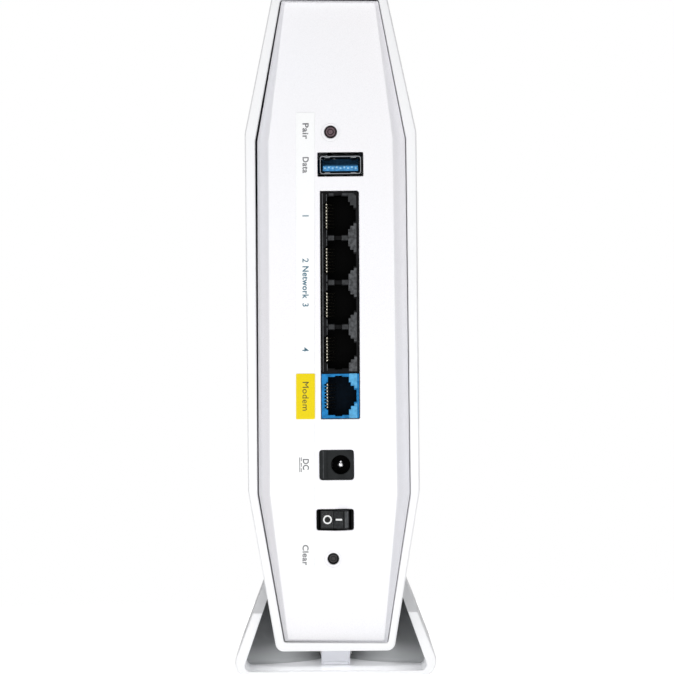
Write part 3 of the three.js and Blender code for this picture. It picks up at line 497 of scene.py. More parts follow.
def printed(name, colour, roughness, spread=0.03, **constants):
    """Ink or film: very smooth, with a slight unevenness."""
    finish = Finish(name, roughness, **constants)
    uneven = finish.noise(0.5, 3)
    finish.colour(finish.ramp(uneven, 0.3, 0.7, shade(colour, 1 - spread), shade(colour, 1 + spread)))
    finish.vary_roughness(uneven, 0.04)
    return finish.material


def circuit_board(name):
    """Green solder mask over copper traces, which show as slightly raised, lighter lines."""
    finish = Finish(name, 0.32, Coat_Weight=0.3)
    traces = finish.add("ShaderNodeTexBrick", Scale=420, Mortar_Size=0.03)
    traces.offset = 0.37
    turn = finish.add("ShaderNodeMapping")
    turn.inputs["Rotation"].default_value = (0, math.pi / 2, 0)
    finish.link(finish.place, turn.inputs["Vector"])
    finish.link(turn.outputs["Vector"], traces.inputs["Vector"])
    finish.colour(finish.ramp(traces.outputs["Fac"], 0.2, 0.8, (0.02, 0.12, 0.045), (0.05, 0.22, 0.09)))
    finish.vary_roughness(finish.noise(3, 2), 0.05)
    finish.bump(traces.outputs["Fac"], 0.3, 0.03)
    return finish.material


GLOSSY = {"Specular_IOR_Level": 0.95}
MATT = {"Specular_IOR_Level": 0.1}
DEAD_MATT = {"Specular_IOR_Level": 0.02}
SHELL_WHITE = moulded("shell_plastic", (0.865, 0.87, 0.885), 0.3, spread=0.012, strength=0.06, **GLOSSY)
PANEL_WHITE = moulded(
    "panel_plastic", (0.87, 0.87, 0.87), 0.28, cloud=90, grain=0.12, strength=0.02,
    tints=((0.872, 0.86, 0.882), (0.858, 0.862, 0.898)), **GLOSSY,
)
STAND_WHITE = moulded("stand_plastic", (0.88, 0.885, 0.9), 0.32, spread=0.012, strength=0.06, **GLOSSY)
# the posts: the stand's white greyed as painted shade, for the posts under the sleeve
POST_SHADED_WHITE = moulded("post_plastic_painted_shade", (0.7, 0.705, 0.745), 0.4, spread=0.02, **MATT)
# the saddle walls: the stand's white plastic painted grey as shade, and darker still towards the top
SADDLE_SHADE_GREY = moulded(
    "saddle_painted_shade", (0.4, 0.41, 0.415), 0.5, spread=0.04, cloud=14, fade=("Z", 4, 11, 0.48), **DEAD_MATT,
)
TRAY_GREY = moulded("tray_plastic", (0.33, 0.34, 0.35), 0.55, spread=0.06)
# black plastic of the network jacks, with painted shade that darkens it deeper than 2.5 mm into the sockets
JACK_BLACK = moulded(
    "jack_plastic", (0.009, 0.009, 0.0098), 0.42, spread=0.3, cloud=2.5,
    fade=("Y", JACK_FACE + 0.3, JACK_FACE + 2.5, 0.02), **DEAD_MATT,
)
# painted highlights: a lighter grey for strips along the jacks' edges
JACK_HIGHLIGHT_GREY = moulded("jack_painted_highlight", (0.085, 0.088, 0.094), 0.35, spread=0.3, cloud=1.2, **MATT)
BLOCK_GREY = moulded("jack_block_plastic", (0.036, 0.038, 0.041), 0.35, spread=0.3, cloud=1.2, **MATT)
LENS_GREY = moulded("lens_plastic", (0.07, 0.073, 0.078), 0.32, spread=0.45, cloud=1.1, **MATT)
# blue plastic of the line jack, with painted shade that darkens it deeper into its socket
JACK_BLUE = moulded(
    "line_jack_plastic", (0.022, 0.21, 0.5), 0.38, spread=0.25, cloud=1.5,
    fade=("Y", JACK_FACE + 0.2, JACK_FACE + 2, 0.03), **DEAD_MATT,
)
JACK_BLUE_LIGHT = moulded("line_jack_relief", (0.1, 0.4, 0.7), 0.35, spread=0.15, cloud=1.0, **MATT)
# blue insert of the data port, with painted shade that darkens it deeper into the port
TONGUE_BLUE = moulded(
    "tongue_plastic", (0.08, 0.3, 0.6), 0.35, spread=0.3, cloud=0.6,
    fade=("Y", USB.rear + 1.5, USB.rear + 5, 0.32), **DEAD_MATT,
)
PAD_BLUE = moulded("tongue_contact", (0.25, 0.52, 0.75), 0.3, spread=0.2, cloud=0.6)
# black plastic of the power inlet, with painted shade that darkens it deeper into its hole
INLET_BLACK = moulded(
    "inlet_plastic", (0.026, 0.028, 0.029), 0.42, spread=0.15, cloud=3,
    fade=("Y", DC.rear + 1, DC.rear + 5, 0.05), **DEAD_MATT,
)
SWITCH_BLACK = moulded("switch_plastic", (0.005, 0.0055, 0.0055), 0.4, spread=0.15, cloud=3, **DEAD_MATT)
ROCKER_BLACK = moulded(
    "rocker_plastic", (0.0115, 0.0125, 0.013), 0.38, spread=0.15, cloud=3, grain=0.25, strength=0.25,
    Specular_IOR_Level=0.12,
)
# the rocker's raised texture is real, and its lighter grey is painted sheen on the black
ROCKER_SHEEN_GREY = moulded("rocker_rib_painted_sheen", (0.1, 0.105, 0.11), 0.38, spread=0.3, cloud=1, **MATT)


def cap_plastic(name, colour, node):
    """A push button's plastic, with painted shade that darkens it in the grooves of its cap."""
    face = Span(node).rear
    # painted shade in the cap's grooves, deeper than its face
    fade = ("Y", face + 0.06, face + 0.25, 0.22)
    return moulded(name, colour, 0.5, spread=0.25, cloud=0.6, fade=fade, **MATT)


BUTTON_BROWN = cap_plastic("button_plastic", (0.16, 0.11, 0.124), "pair_button")
BUTTON_DARK = cap_plastic("reset_plastic", (0.07, 0.066, 0.069), "reset_button")
RUBBER = moulded("foot_rubber", (0.09, 0.095, 0.1), 0.85, spread=0.1, cloud=3, grain=0.5, strength=0.3)
PAD_GREY = moulded("pad_foam", (0.27, 0.36, 0.46), 0.9, spread=0.08, cloud=3, grain=0.8, strength=0.3)
CLEAR = moulded("light_pipe_acrylic", (0.85, 0.9, 0.93), 0.12, spread=0.03, Transmission_Weight=0.7)
LEAD_BLACK = moulded("lead_sleeve", (0.012, 0.012, 0.013), 0.5, spread=0.2, cloud=3)
CHIP_BLACK = moulded("component_epoxy", (0.016, 0.017, 0.02), 0.5, spread=0.2, cloud=4)
STEEL = sheet_metal("tinned_steel", (0.62, 0.64, 0.66), 0.3)
PORT_STEEL = sheet_metal("port_steel", (0.2, 0.21, 0.22), 0.36)
PIN_STEEL = sheet_metal("pin_steel", (0.5, 0.5, 0.51), 0.3)
ALUMINIUM = sheet_metal("extruded_aluminium", (0.58, 0.6, 0.62), 0.38, stretch=(1, 1, 0.06))
GOLD = sheet_metal("contact_plating", (0.42, 0.4, 0.34), 0.26, size=0.8)
# a darker copy of the contact plating: painted shade that keeps the wires dim so only their tips shine
SHADED_WIRE_GOLD = sheet_metal("wire_plating_painted_shade", (0.2, 0.19, 0.15), 0.42, size=0.8)
BOARD_GREEN = circuit_board("solder_mask")
LABEL_WHITE = printed("label_film", (0.94, 0.95, 0.955), 0.35, spread=0.008, Specular_IOR_Level=0.8)
LABEL_YELLOW = printed("yellow_film", (0.89, 0.7, 0.008), 0.5, **MATT)
INK_GREY = printed("grey_ink", (0.17, 0.17, 0.185), 0.6)
INK_BLUE = printed("blue_ink", (0.06, 0.17, 0.24), 0.6)
INK_DARK = printed("dark_ink", (0.05, 0.042, 0.01), 0.6)
MARK_WHITE = printed("mark_paint", (0.85, 0.86, 0.86), 0.45)


# ---- sleeve
def mirrored(right):
    """An outline from its right half, up from its foot."""
    return right + [(-x, z) for x, z in reversed(right)]


SLEEVE_CORNERS = mirrored([
    (HALF_BOTTOM, SHELL.low), (HALF_WIDTH, LOWER_CORNER),
    (HALF_WIDTH, UPPER_CORNER), (HALF_TOP, SHELL.high),
])
SLEEVE_RADII = [END_RADIUS, SIDE_RADIUS, SIDE_RADIUS, END_RADIUS] * 2


sleeve = outline_of(SLEEVE_CORNERS, SLEEVE_RADII, 8)
mouth = outline_of(MOUTH_CORNERS, MOUTH_RADII, 8)


def sleeve_body():
    """One loft from the closed end inside, out over the rim, and forward to the front face."""
    rim_round, mouth_round = 0.5, 0.3
    inside = [(FRONT_INSET, SHELL.front - WALL), (0, SHELL.front - FRONT_CHAMFER - 1.4)]
    inside += [(-inset, SHELL.rear + depth) for inset, depth in reversed(edge_round(mouth_round))]
    outside = [(inset, SHELL.rear + depth) for inset, depth in edge_round(rim_round)]
    chamfer = [(0, 5.6), (0.1, 4.9), (0.35, 4.2), (0.8, 3.5), (2.7, 1.1), (3.3, 0.45), (3.9, 0.1), (4.6, 0)]
    rings = [(mouth(inset), y) for inset, y in inside]
    rings += [(sleeve(inset), y) for inset, y in outside]
    rings += [(sleeve(inset), SHELL.front - depth) for inset, depth in chamfer]
    return loft([[(p.x, y, p.y) for p in ring] for ring, y in rings])


VENT_PITCH = 5.6
VENT_HALF_LENGTH = 10.5
VENT_HALF_WIDTH = 1.1


def vent(y, face, end, flare):
    """A cutter for a slot with round ends that runs across the router."""
    corners = rectangle(-VENT_HALF_LENGTH, VENT_HALF_LENGTH, y - VENT_HALF_WIDTH, y + VENT_HALF_WIDTH)
    return opening(outline_of(corners, VENT_HALF_WIDTH * 0.98), "z", face, end, flare)


def shell():
    top, under = SHELL.high, SHELL.low
    vents = [vent((i - 12) * VENT_PITCH, top, top - 2 * WALL, 0.45) for i in range(25)]
    stations = [side * (45.2 + VENT_PITCH * i) for side in (-1, 1) for i in range(4)]
    intakes = [vent(y, under, under + 2 * WALL, 0.3) for y in stations]
    screw_holes = [
        opening(round_outline(0, y, 1.7, 32), "z", under, under + 2 * WALL, 0.2) for y in SCREW_Y
    ]
    light = Span("light_pipe")
    pane = outline_of(rectangle(-1.1, 1.1, light.low - 0.15, light.high + 0.15), 0.5)
    window = opening(pane, "y", SHELL.front, SHELL.front - 2 * WALL, 0.25)
    body = cut(sleeve_body(), together(*vents, *intakes, *screw_holes, window))
    piece("sleeve", body, SHELL_WHITE, "shell_white", ["outer_shell"])


# ---- port panel
def facet_drop(z):
    """How far the facets' outer edge lies behind the panel's face at a height."""
    above = (z - UPPER_CORNER) / (SHELL.high - WALL - UPPER_CORNER)
    below = (LOWER_CORNER - z) / (LOWER_CORNER - SHELL.low - WALL)
    share = min(max(above, below, 0), 1)
    return FACET_DROP + (FACET_END_DROP - FACET_DROP) * share


def askew(bm):
    """Leans something by the small angle at which the column of network jacks stands."""
    for vertex in bm.verts:
        vertex.co.x += (vertex.co.z - JACKS_UPRIGHT_AT) * JACKS_TILT
    return bm


def jack_corners(low, high, margin=0.0):
    """The network jacks' outline in X, between two heights, grown beside them by a margin."""
    return rectangle(JACKS_LEFT - margin, JACKS_RIGHT + margin, low, high)


def switch_outline(margin=0.0):
    """The power switch's frame, whose lower edge sags a little in the middle."""
    left, right = SWITCH.left - 0.19 - margin, SWITCH.right + 0.35 + margin
    low, high = SWITCH.low - margin, SWITCH.high + margin
    return [(left, low), (SWITCH.x, low - 0.2), (right, low), (right, high), (left, high)]


def finger_groove(centre, radius):
    """A cutter for the shallow round groove about a button."""
    section = [(-0.32, -1), (0.32, -1), (0.32, -0.02), (0.2, 0.05), (0, 0.08), (-0.2, 0.05), (-0.32, -0.02)]
    return loft([
        [(p.x, PANEL_FACE + y, p.y) for p in circle(*centre, radius + offset)] for offset, y in section
    ], closed=True)


PANEL_RADII = [0.5, 4.0, 4.0, 0.5] * 2
RIDGE_RADII = [1.0, 2.5, 2.5, 1.0] * 2


def panel_plate():
    """The panel before it is cut: a level face, and facets that fall back from the ridge round it."""
    middle = []
    for x, z in PANEL_CORNERS:
        is_end = z > UPPER_CORNER or z < LOWER_CORNER - 5
        narrower = FACET_END_WIDTH if is_end else FACET_WIDTHS[x > 0]
        shorter = math.copysign(PANEL_END_BEVEL, z - PANEL.z) if is_end else 0
        middle.append((x - math.copysign(narrower, x), z - shorter))
    outer = [rounded(PANEL_CORNERS, PANEL_RADII, inset, 8) for inset in (0, 0.03, 0.08)]
    ridge = [rounded(middle, RIDGE_RADII, inset, 8) for inset in (0, 0.12, 0.3)]

    def row(points, y):
        return [(p.x, y(p.y), p.y) for p in points]

    def facet(share):
        """The ring that far from the facets' outer edge towards the ridge."""
        ring = []
        for p, q in zip(outer[2], ridge[0]):
            at = p.lerp(q, share)
            rise = share * (1 - FACET_HOLLOW) + share ** 2 * FACET_HOLLOW
            ring.append((at.x, PANEL_FACE + facet_drop(p.y) * (1 - rise), at.y))
        return ring

    return loft([
        row(outer[0], lambda z: PANEL_BACK),
        row(outer[0], lambda z: PANEL_FACE + facet_drop(z) + 0.1),
        row(outer[1], lambda z: PANEL_FACE + facet_drop(z) + 0.03),
        *[facet(share) for share in (0, 0.2, 0.4, 0.6, 0.8, 0.92)],
        row(ridge[1], lambda z: PANEL_FACE + 0.02),
        row(ridge[2], lambda z: PANEL_FACE),
    ])


def port_panel():
    def through(ring, flare=0.22):
        return opening(ring, "y", PANEL_FACE, PANEL_BACK + 1, flare)

    jacks = jack_corners(WAN_LOW - 0.2, LAN.high + 0.15, 0.18)
    data_port = rectangle(USB.x - 7.2, USB.x + 7.17, USB.z - 3.6, USB.z + 4.0)
    inlet = rectangle(INLET_LEFT - 0.1, INLET_RIGHT + 0.09, DC.low - 0.08, DC.high - 0.02)
    openings = [
        askew(through(outline_of(jacks, [0.2, 0.5, 0.8, 0.2]))),
        through(outline_of(data_port, 0.35)),
        through(outline_of(inlet, 0.95)),
        through(outline_of(switch_outline(0.1), 0.7)),
    ]
    grooves = []
    for name, (_, hole, groove) in BUTTONS.items():
        span = Span(f"{name}_button")
        openings.append(through(round_outline(span.x, span.z, hole), 0.3))
        grooves.append(finger_groove((span.x, span.z), groove))
    tab = Span("chassis_tray").left - 2.8
    tabs = [
        slab(tab, tab + 2, low, low + 12, 0.4, PANEL_BACK - 0.5, PANEL.front, 0, 0.4) for low in TAB_FEET
    ]
    body = join(cut(panel_plate(), together(*openings), together(*grooves)), *tabs)
    piece("port_panel", body, PANEL_WHITE, "panel_white", ["rear_panel"])


# ---- network jacks
TOOTH_PITCH = 1.016
TEETH = [(i - 3.5) * TOOTH_PITCH for i in range(8)]  # the wires' heights in a socket


def socket_corners():
    """One socket's opening about its middle: the plug, the stepped latch recess and the wires' comb."""
    lower_right = [
        (-3.75, 6.0), (-1.5, 6.0), (-1.5, 6.35), (0.7, 6.35), (0.7, 6.0), (2.8, 6.0), (2.8, 4.2),
        (3.4, 4.2), (3.4, 3.15), (4.45, 3.15), (4.45, 1.9), (5.2, 1.9),
    ]
    comb = [(-3.75, 4.3), (-4.25, 4.3)]
    for z in reversed(TEETH):
        comb += [(-4.25, z + 0.28), (-4.85, z + 0.28), (-4.85, z - 0.28), (-4.25, z - 0.28)]
    comb += [(-4.25, -4.3), (-3.75, -4.3)]
    return [(x, -z) for x, z in lower_right] + [(x, z) for x, z in reversed(lower_right)] + comb


SOCKET_CORNERS = socket_corners()


def socket_cutter(z):
    corners = [(JACK_X + x, z + dz) for x, dz in SOCKET_CORNERS]
    return opening(outline_of(corners, 0.06, 2), "y", JACK_FACE, JACK_FACE + 14, 0.16)


def divider_recess(z):
    """A cutter for the hollow in the divider below a socket, where two latch guides meet."""
    return slab(JACK_X - 1.45, JACK_X + 0.65, z - 7.8, z - 6.2, 0.1, JACK_FACE - 1, JACK_FACE + 0.9)


def jack_housing(span, low, sockets, radii):
    """The block about some sockets, and the foot that holds it on the board."""
    face = block(jack_corners(low, span.high), radii, "y", JACK_FACE, span.front, 0.18)
    start, end = PANEL_BACK + 0.3, span.front - 0.1
    foot = slab(span.left, JACK_X, span.low + 0.2, span.high - 0.2, 0.3, start, end)
    body = cut(join(face, foot), together(*[socket_cutter(z) for z in sockets]))
    if len(sockets) > 1:
        body = cut(body, together(*[divider_recess(z) for z in sockets[:-1]]))
    return askew(body)


def relief(points):
    """Low relief on the jacks' face."""
    return block(points, 0.12, "y", JACK_FACE - 0.1, JACK_FACE + 0.1, 0.07, 0, 3)


def bar_about(z, x0, x1, z0, z1):
    """A bar of relief whose edges are given from a socket's middle."""
    return relief(rectangle(JACK_X + x0, JACK_X + x1, z + z0, z + z1))


LENS_STEPS = [(2.95, 4.38), (3.58, 4.38), (3.58, 3.33), (4.63, 3.33), (4.63, 2.5), (5.35, 2.5)]
LENS = LENS_STEPS + [(5.35, 6.93), (2.95, 6.93)]
END_LENS = LENS_STEPS + [(5.3, 6.1), (4.5, 6.93), (2.95, 6.93)]


def corner_lenses(z, sides, outline=LENS):
    """The stepped lenses at a socket's right corners, below it (-1) or above it (1)."""
    lenses = []
    for side in sides:
        points = [(JACK_X + x, z + side * dz) for x, dz in outline]
        lenses.append(relief(points[::-1] if side > 0 else points))
    return lenses


def jack_trim():
    """Relief on the jacks: corner lenses, fine upright strips in a lighter grey that are painted
    highlights, and blocks on the dividers.
    """
    lenses = corner_lenses(LAN_Z[0], [-1])
    for z in LAN_Z[1:]:
        lenses += corner_lenses(z, (-1, 1))
    piece("jack_lenses", askew(together(*lenses)), LENS_GREY, "tray_grey")
    piece("line_jack_lenses", askew(together(*corner_lenses(WAN_Z, (-1, 1)))), JACK_BLUE_LIGHT, "jack_blue")

    # painted highlights: light grey strips on the block's left edge and at the corners of the latch
    # recesses
    ribs_and_highlights = [relief(rectangle(JACK_X - 5.35, JACK_X - 5.08, LAN.low + 0.5, LAN.high - 0.6))]
    for z in LAN_Z:
        ribs_and_highlights += [bar_about(z, -4.05, -3.82, low, low + 2.2) for low in (-6.75, 4.55)]
    piece("jack_highlight_strips", askew(together(*ribs_and_highlights)), JACK_HIGHLIGHT_GREY, "jack_black")

    blocks = [bar_about(LAN_Z[0], -3.2, -1.7, 6.3, 7.1), bar_about(LAN_Z[0], 0.9, 2.9, 6.3, 7.1)]
    for z in LAN_Z[:-1]:
        blocks += [bar_about(z, x0, x1, -7.7, -6.27) for x0, x1 in ((-3.45, -1.6), (0.8, 2.75))]
    blocks += corner_lenses(LAN_Z[0], [1], END_LENS)
    piece("jack_blocks", askew(together(*blocks)), BLOCK_GREY, "jack_black")


def contact_wires(number, z, node):
    """Eight spring wires: each comes forward in its slot of the comb and slants back into the socket."""
    radius, bend = 0.17, 0.1
    left = JACK_X - 4.2
    front = JACK_FACE + 0.75 + bend
    path = [(left, JACK_FACE + 13.2), (left, front)]
    turns = [math.pi * (1 - step / 8) for step in range(1, 8)]
    path += [(left + bend + bend * math.cos(a), front - bend * math.sin(a)) for a in turns]
    path += [(left + 2 * bend + 0.1, front + 0.3), (left + 2.6, JACK_FACE + 8.6)]
    wires = [tube([(x, y, z + tooth) for x, y in path], radius) for tooth in TEETH]
    back = JACK_FACE + 12
    bar = slab(left - radius, left + 0.55, z - 3.95, z + 3.95, 0.1, back, back + 1.4, 0.1)
    # the wires take the darker plating, painted shade
    piece(f"contact_wires_{number}", askew(together(bar, *wires)), SHADED_WIRE_GOLD, "contact_gold", [node])


def network_ports():
    black = jack_housing(LAN, LAN.low, LAN_Z, [0.15, 0.15, 0.9, 0.3])
    piece("lan_jacks", black, JACK_BLACK, "jack_black", ["lan_jack_block"])
    blue = jack_housing(WAN, WAN_LOW, [WAN_Z], [0.3, 0.55, 0.15, 0.15])
    piece("wan_socket", blue, JACK_BLUE, "jack_blue", ["wan_jack"])
    jack_trim()
    for port, z in enumerate(LAN_Z, 1):
        contact_wires(port, z, f"lan_contacts_{port}")
    contact_wires(5, WAN_Z, "wan_contacts")
    dome = [(0.0, 0.5), (0.17, 0.52), (0.24, 0.6), (0.26, 0.75), (0.0, 0.9)]
    profile = [(radius, JACK_FACE + y) for radius, y in dome]
    tips = [
        turned(profile, "y", (JACK_X - 3.97, z + tooth), 16) for z in (*LAN_Z, WAN_Z) for tooth in TEETH
    ]
    piece("contact_tips", askew(together(*tips)), GOLD, "contact_gold")


# ---- data port
USB_SHEET = 0.35  # the thickness of the port's metal


def usb_sleeve():
    corners = rectangle(USB.left, USB.right, USB.low, USB.high)
    stations = [(0, USB.front), (0, USB.rear + 0.1), (0.1, USB.rear)]
    stations += [(USB_SHEET - 0.1, USB.rear), (USB_SHEET, USB.rear + 0.1), (USB_SHEET, USB.front)]
    body = swept(outline_of(corners, 0.85), "y", stations, closed=True)
    piece("usb_sleeve", body, PORT_STEEL, "steel", ["usb_shell"])


def usb_springs():
    """Two bowed strips on each long wall, which grip the plug."""
    bow = [(0.9, 0), (1.9, 0.15), (3.4, 0.75), (4.6, 0.8), (7.5, 0.1), (9.0, 0)]
    strips = []
    for side in (-1, 1):
        wall = USB.z + side * (USB.high - USB.z - USB_SHEET - 0.03)
        outline = [(USB.rear + y, wall - side * drop) for y, drop in bow]
        outline += [(USB.rear + y, wall - side * (drop + 0.18)) for y, drop in reversed(bow)]
        for x in (USB.x - 4.1, USB.x + 4.1):
            strips.append(loft([[(at, y, z) for y, z in outline] for at in (x - 0.85, x + 0.85)]))
    piece("usb_springs", together(*strips), PORT_STEEL, "steel")


def usb_tongue():
    """The moulding with the tongue on it, and the contacts that show on the tongue's end."""
    middle = USB.z - 1.05

    def bar(half_width, low, high, radius, start, end, soft):
        return slab(USB.x - half_width, USB.x + half_width, low, high, radius, start, end, soft)

    tongue = bar(5.55, middle - 0.85, middle + 0.85, 0.2, USB.rear + 0.7, USB.rear + 10, 0.25)
    ledge = bar(5.45, middle + 0.7, middle + 1.25, 0.1, USB.rear + 3.4, USB.rear + 10, 0.15)
    core = bar(5.8, USB.z - 2.2, USB.z + 2.2, 0.2, USB.rear + 9.4, USB.front + 2, 0.2)
    left, back = Span("usb_tongue").left, USB.front
    foot = slab(left, USB.x, USB.z - 2.1, USB.z + 2.1, 0.2, back + 0.3, back + 1.95, 0.1)
    piece("usb_insert", join(tongue, ledge, core, foot), TONGUE_BLUE, "tongue_blue", ["usb_tongue"])

    pads = []
    for i in range(9):
        x = USB.x + (i - 4) * 1.2
        low = middle - 0.2 + 0.25 * (i % 2)
        pads.append(slab(x - 0.3, x + 0.3, low, low + 0.55, 0.1, USB.rear + 0.64, USB.rear + 0.8, 0.05))
    piece("usb_pads", together(*pads), PAD_BLUE, "tongue_blue")


# ---- power inlet
INLET_HOLE = (2.2, DC.z)
INLET_HOLE_RADIUS = 3.0
INLET_HOLE_END = DC.rear + 10.5
INLET_WALL = INLET_HOLE[0] - INLET_HOLE_RADIUS  # the side of the hole that the spring stands at


def inlet_body():
    def across(x0, x1, start, end, radius=0.1):
        """A cutter that crosses the inlet's face between two places in X."""
        return slab(x0, x1, DC.z - 6, DC.z + 6, radius, DC.rear + start, DC.rear + end)

    face = slab(INLET_LEFT, INLET_RIGHT, DC.low, DC.high - 0.1, 0.9, DC.rear, DC.front, 0.3)
    foot = slab(DC.left, 0.9, DC.z - 4.4, DC.z + 4.4, 0.4, PANEL_BACK + 0.3, DC.front - 0.1)
    mouth_ring = round_outline(*INLET_HOLE, INLET_HOLE_RADIUS, 64)
    hole = opening(mouth_ring, "y", DC.rear, INLET_HOLE_END, 0.3)
    wall = INLET_WALL
    slot = slab(wall - 0.9, wall + 0.6, DC.z - 1.2, DC.z + 1.2, 0.2, DC.rear + 0.9, INLET_HOLE_END)
    step = across(INLET_LEFT - 1, INLET_LEFT + 1, -1, 0.3)
    groove = across(-2.2, -2.0, -1, 0.5, 0.05)
    body = cut(join(face, foot), hole, slot, step, groove)
    piece("inlet_body", body, INLET_BLACK, "inlet_black", ["dc_jack_body"])
    rib = slab(-3.42, -3.17, DC.z - 4.4, DC.z + 4.3, 0.1, DC.rear - 0.05, DC.rear + 0.2, 0.06)
    piece("inlet_rib", rib, LENS_GREY, "tray_grey")


def inlet_contacts():
    """The split pin in the hole, and the bowed spring at the hole's side."""
    tip = DC.rear + 1.4
    end = INLET_HOLE_END - 0.05
    nose = [(0.0, 0), (0.45, 0.015), (0.66, 0.08), (0.85, 0.25), (0.97, 0.55), (1.0, 0.95)]
    profile = [(radius, tip + y) for radius, y in nose] + [(1.0, end), (0.0, end)]
    x, z = INLET_HOLE
    split = block([(x, z - 0.15), (x + 0.4, z + 1.2), (x - 0.4, z + 1.2)], 0.05, "y", tip - 1, tip + 5)
    pin = cut(turned(profile, "y", INLET_HOLE, 40), split)
    piece("inlet_pin", pin, PIN_STEEL, "steel", ["dc_jack_pin"])

    front = [(-0.6, 1.2), (-0.3, 1.2), (0.3, 2.6), (0.6, 3.6), (0.62, 4.2), (0.25, 6.4), (-0.3, 10.2)]
    back = [(-0.6, 10.2), (-0.05, 6.4), (0.3, 4.2), (0.28, 3.6), (0.0, 2.6)]
    outline = [(INLET_WALL + x, DC.rear + y) for x, y in front + back]
    spring = loft([[(x, y, at) for x, y in outline] for at in (DC.z - 0.9, DC.z + 0.9)])
    piece("inlet_spring", spring, PIN_STEEL, "steel", ["dc_jack_spring"])


# ---- power switch
ROCKER_RADIUS = 4.8
ROCKER_HALF = 2.88
POCKET_HALF = 3.05
ROCKER_VERTEX = (0, -1.75)
RIDGE = math.radians(37.8)  # where the rocker's faces meet its round ends
LEVEL_TO_REST = math.radians(-15)
RING_AT = 1.87  # the off mark's middle, from the vertex


def switch_frame():
    outside = block(switch_outline(), 0.65, "y", SWITCH.rear, SWITCH.front, 0.15)
    half = ROCKER_RADIUS + 0.3
    low, high = SWITCH.z - POCKET_HALF, SWITCH.z + POCKET_HALF
    corners = rectangle(SWITCH.x - half, SWITCH.x + half, low, high)
    pocket = opening(outline_of(corners, 0.3), "y", SWITCH.rear, PIVOT.y + 4.2, 0.1)
    bore = circle(SWITCH.x, PIVOT.y, 0.76, 32)
    pivot_hole = block(bore, 0.02, "z", SWITCH.z - 3.22, SWITCH.z + 3.22, steps=1)
    body = cut(outside, pocket, pivot_hole)
    piece("switch_frame", body, SWITCH_BLACK, "inlet_black", ["switch_body"])


def rocker_profile():
    """The rocker's level section in X and Y about its pivot, counter-clockwise from its vertex."""
    lowest = math.radians(-12)
    right = [
        (ROCKER_RADIUS * math.cos(a), -ROCKER_RADIUS * math.sin(a))
        for a in (RIDGE + (lowest - RIDGE) * step / 14 for step in range(15))
    ]
    return [ROCKER_VERTEX] + mirrored(right + [(1.7, 1.5), (0.9, 3.0)])


def at_rest(point):
    """A point of the level rocker, tipped to its rest position and put on its pivot."""
    return Matrix.Rotation(LEVEL_TO_REST, 3, "Z") @ Vector(point) + PIVOT


def rocker():
    body = block(rocker_profile(), 0.12, "z", -ROCKER_HALF, ROCKER_HALF, 0.25, 0.25, 2)
    end = POCKET_HALF + 0.1
    pin = [(0, -end), (0.6, -end), (0.7, -POCKET_HALF), (0.7, POCKET_HALF), (0.6, end), (0, end)]
    whole = join(body, turned(pin, "z", (0, 0), 24))
    for vertex in whole.verts:
        vertex.co = at_rest(vertex.co)
    piece("rocker", whole, ROCKER_BLACK, "inlet_black", ["switch_rocker"], "rocker")


def on_rocker_face(side, along, across, height):
    """A place on one of the rocker's faces: along it from the vertex, across it in Z, and above it."""
    edge = Vector((side * ROCKER_RADIUS * math.cos(RIDGE), -ROCKER_RADIUS * math.sin(RIDGE), 0))
    start = Vector((*ROCKER_VERTEX, 0))
    direction = (edge - start).normalized()
    outward = Vector((direction.y, -direction.x, 0)) * side
    return at_rest(start + direction * along + outward * height + Vector((0, 0, across)))


RELIEF_FOOT = -0.05  # marks and ribs start this far under the rocker's face


def raised(side, corners, top):
    """Low relief on one of the rocker's faces."""
    heights = (RELIEF_FOOT, top)
    return loft([[on_rocker_face(side, p.x, p.y, height) for p in corners] for height in heights])


def rocker_marks():
    """A ring on the pressed face, and a bar on the raised one."""
    top = 0.04
    rows = []
    for radius, height in ((1.4, RELIEF_FOOT), (1.4, top), (0.93, top), (0.93, RELIEF_FOOT)):
        rows.append([on_rocker_face(-1, p.x, p.y, height) for p in circle(RING_AT, 0, radius)])
    bar = raised(1, rounded(rectangle(0.85, 3.25, -0.29, 0.29), 0.1, 0, 3), top)
    piece("rocker_marks", together(loft(rows, closed=True), bar), MARK_WHITE, "label_white", body="rocker")


def rocker_ribs():
    """A fine hatch on the raised face, dots about the ring, and ribs on the raised end; their lighter grey
    is painted sheen.
    """

    def rib(side, along, across, length, width):
        corners = rectangle(along, along + length, across, across + width)
        return raised(side, rounded(corners, 0.04, 0, 2), 0.05)

    ribs_and_highlights = []
    for column in range(9):
        for row in range(7):
            low = -2.5 + row * 0.31
            ribs_and_highlights += [rib(1, 0.35 + column * 0.37, across, 0.17, 0.16) for across in (low, -low - 0.16)]
    for column in range(8):
        along = 0.25 + column * 0.45
        for row in range(10):
            across = -2.4 + row * 0.52 + 0.26 * (column % 2)
            if math.hypot(along + 0.1 - RING_AT, across + 0.1) > 1.65:
                ribs_and_highlights.append(rib(-1, along, across, 0.2, 0.2))
    width = math.radians(3.7)
    for step in range(5):
        turn = RIDGE - math.radians(3 + 4.4 * step)
        corners = []
        for reach, lean in ((-0.05, 0), (0.05, 0), (0.05, width), (-0.05, width)):
            out = ROCKER_RADIUS + reach
            corners.append((out * math.cos(turn - lean), -out * math.sin(turn - lean)))
        ribs_and_highlights.append(loft([[at_rest((x, y, z)) for x, y in corners] for z in (-2.55, 2.55)]))
    # the ribs' lighter grey is painted sheen on the rocker's black texture
    piece("rocker_ribs", together(*ribs_and_highlights), ROCKER_SHEEN_GREY, "inlet_black", body="rocker")


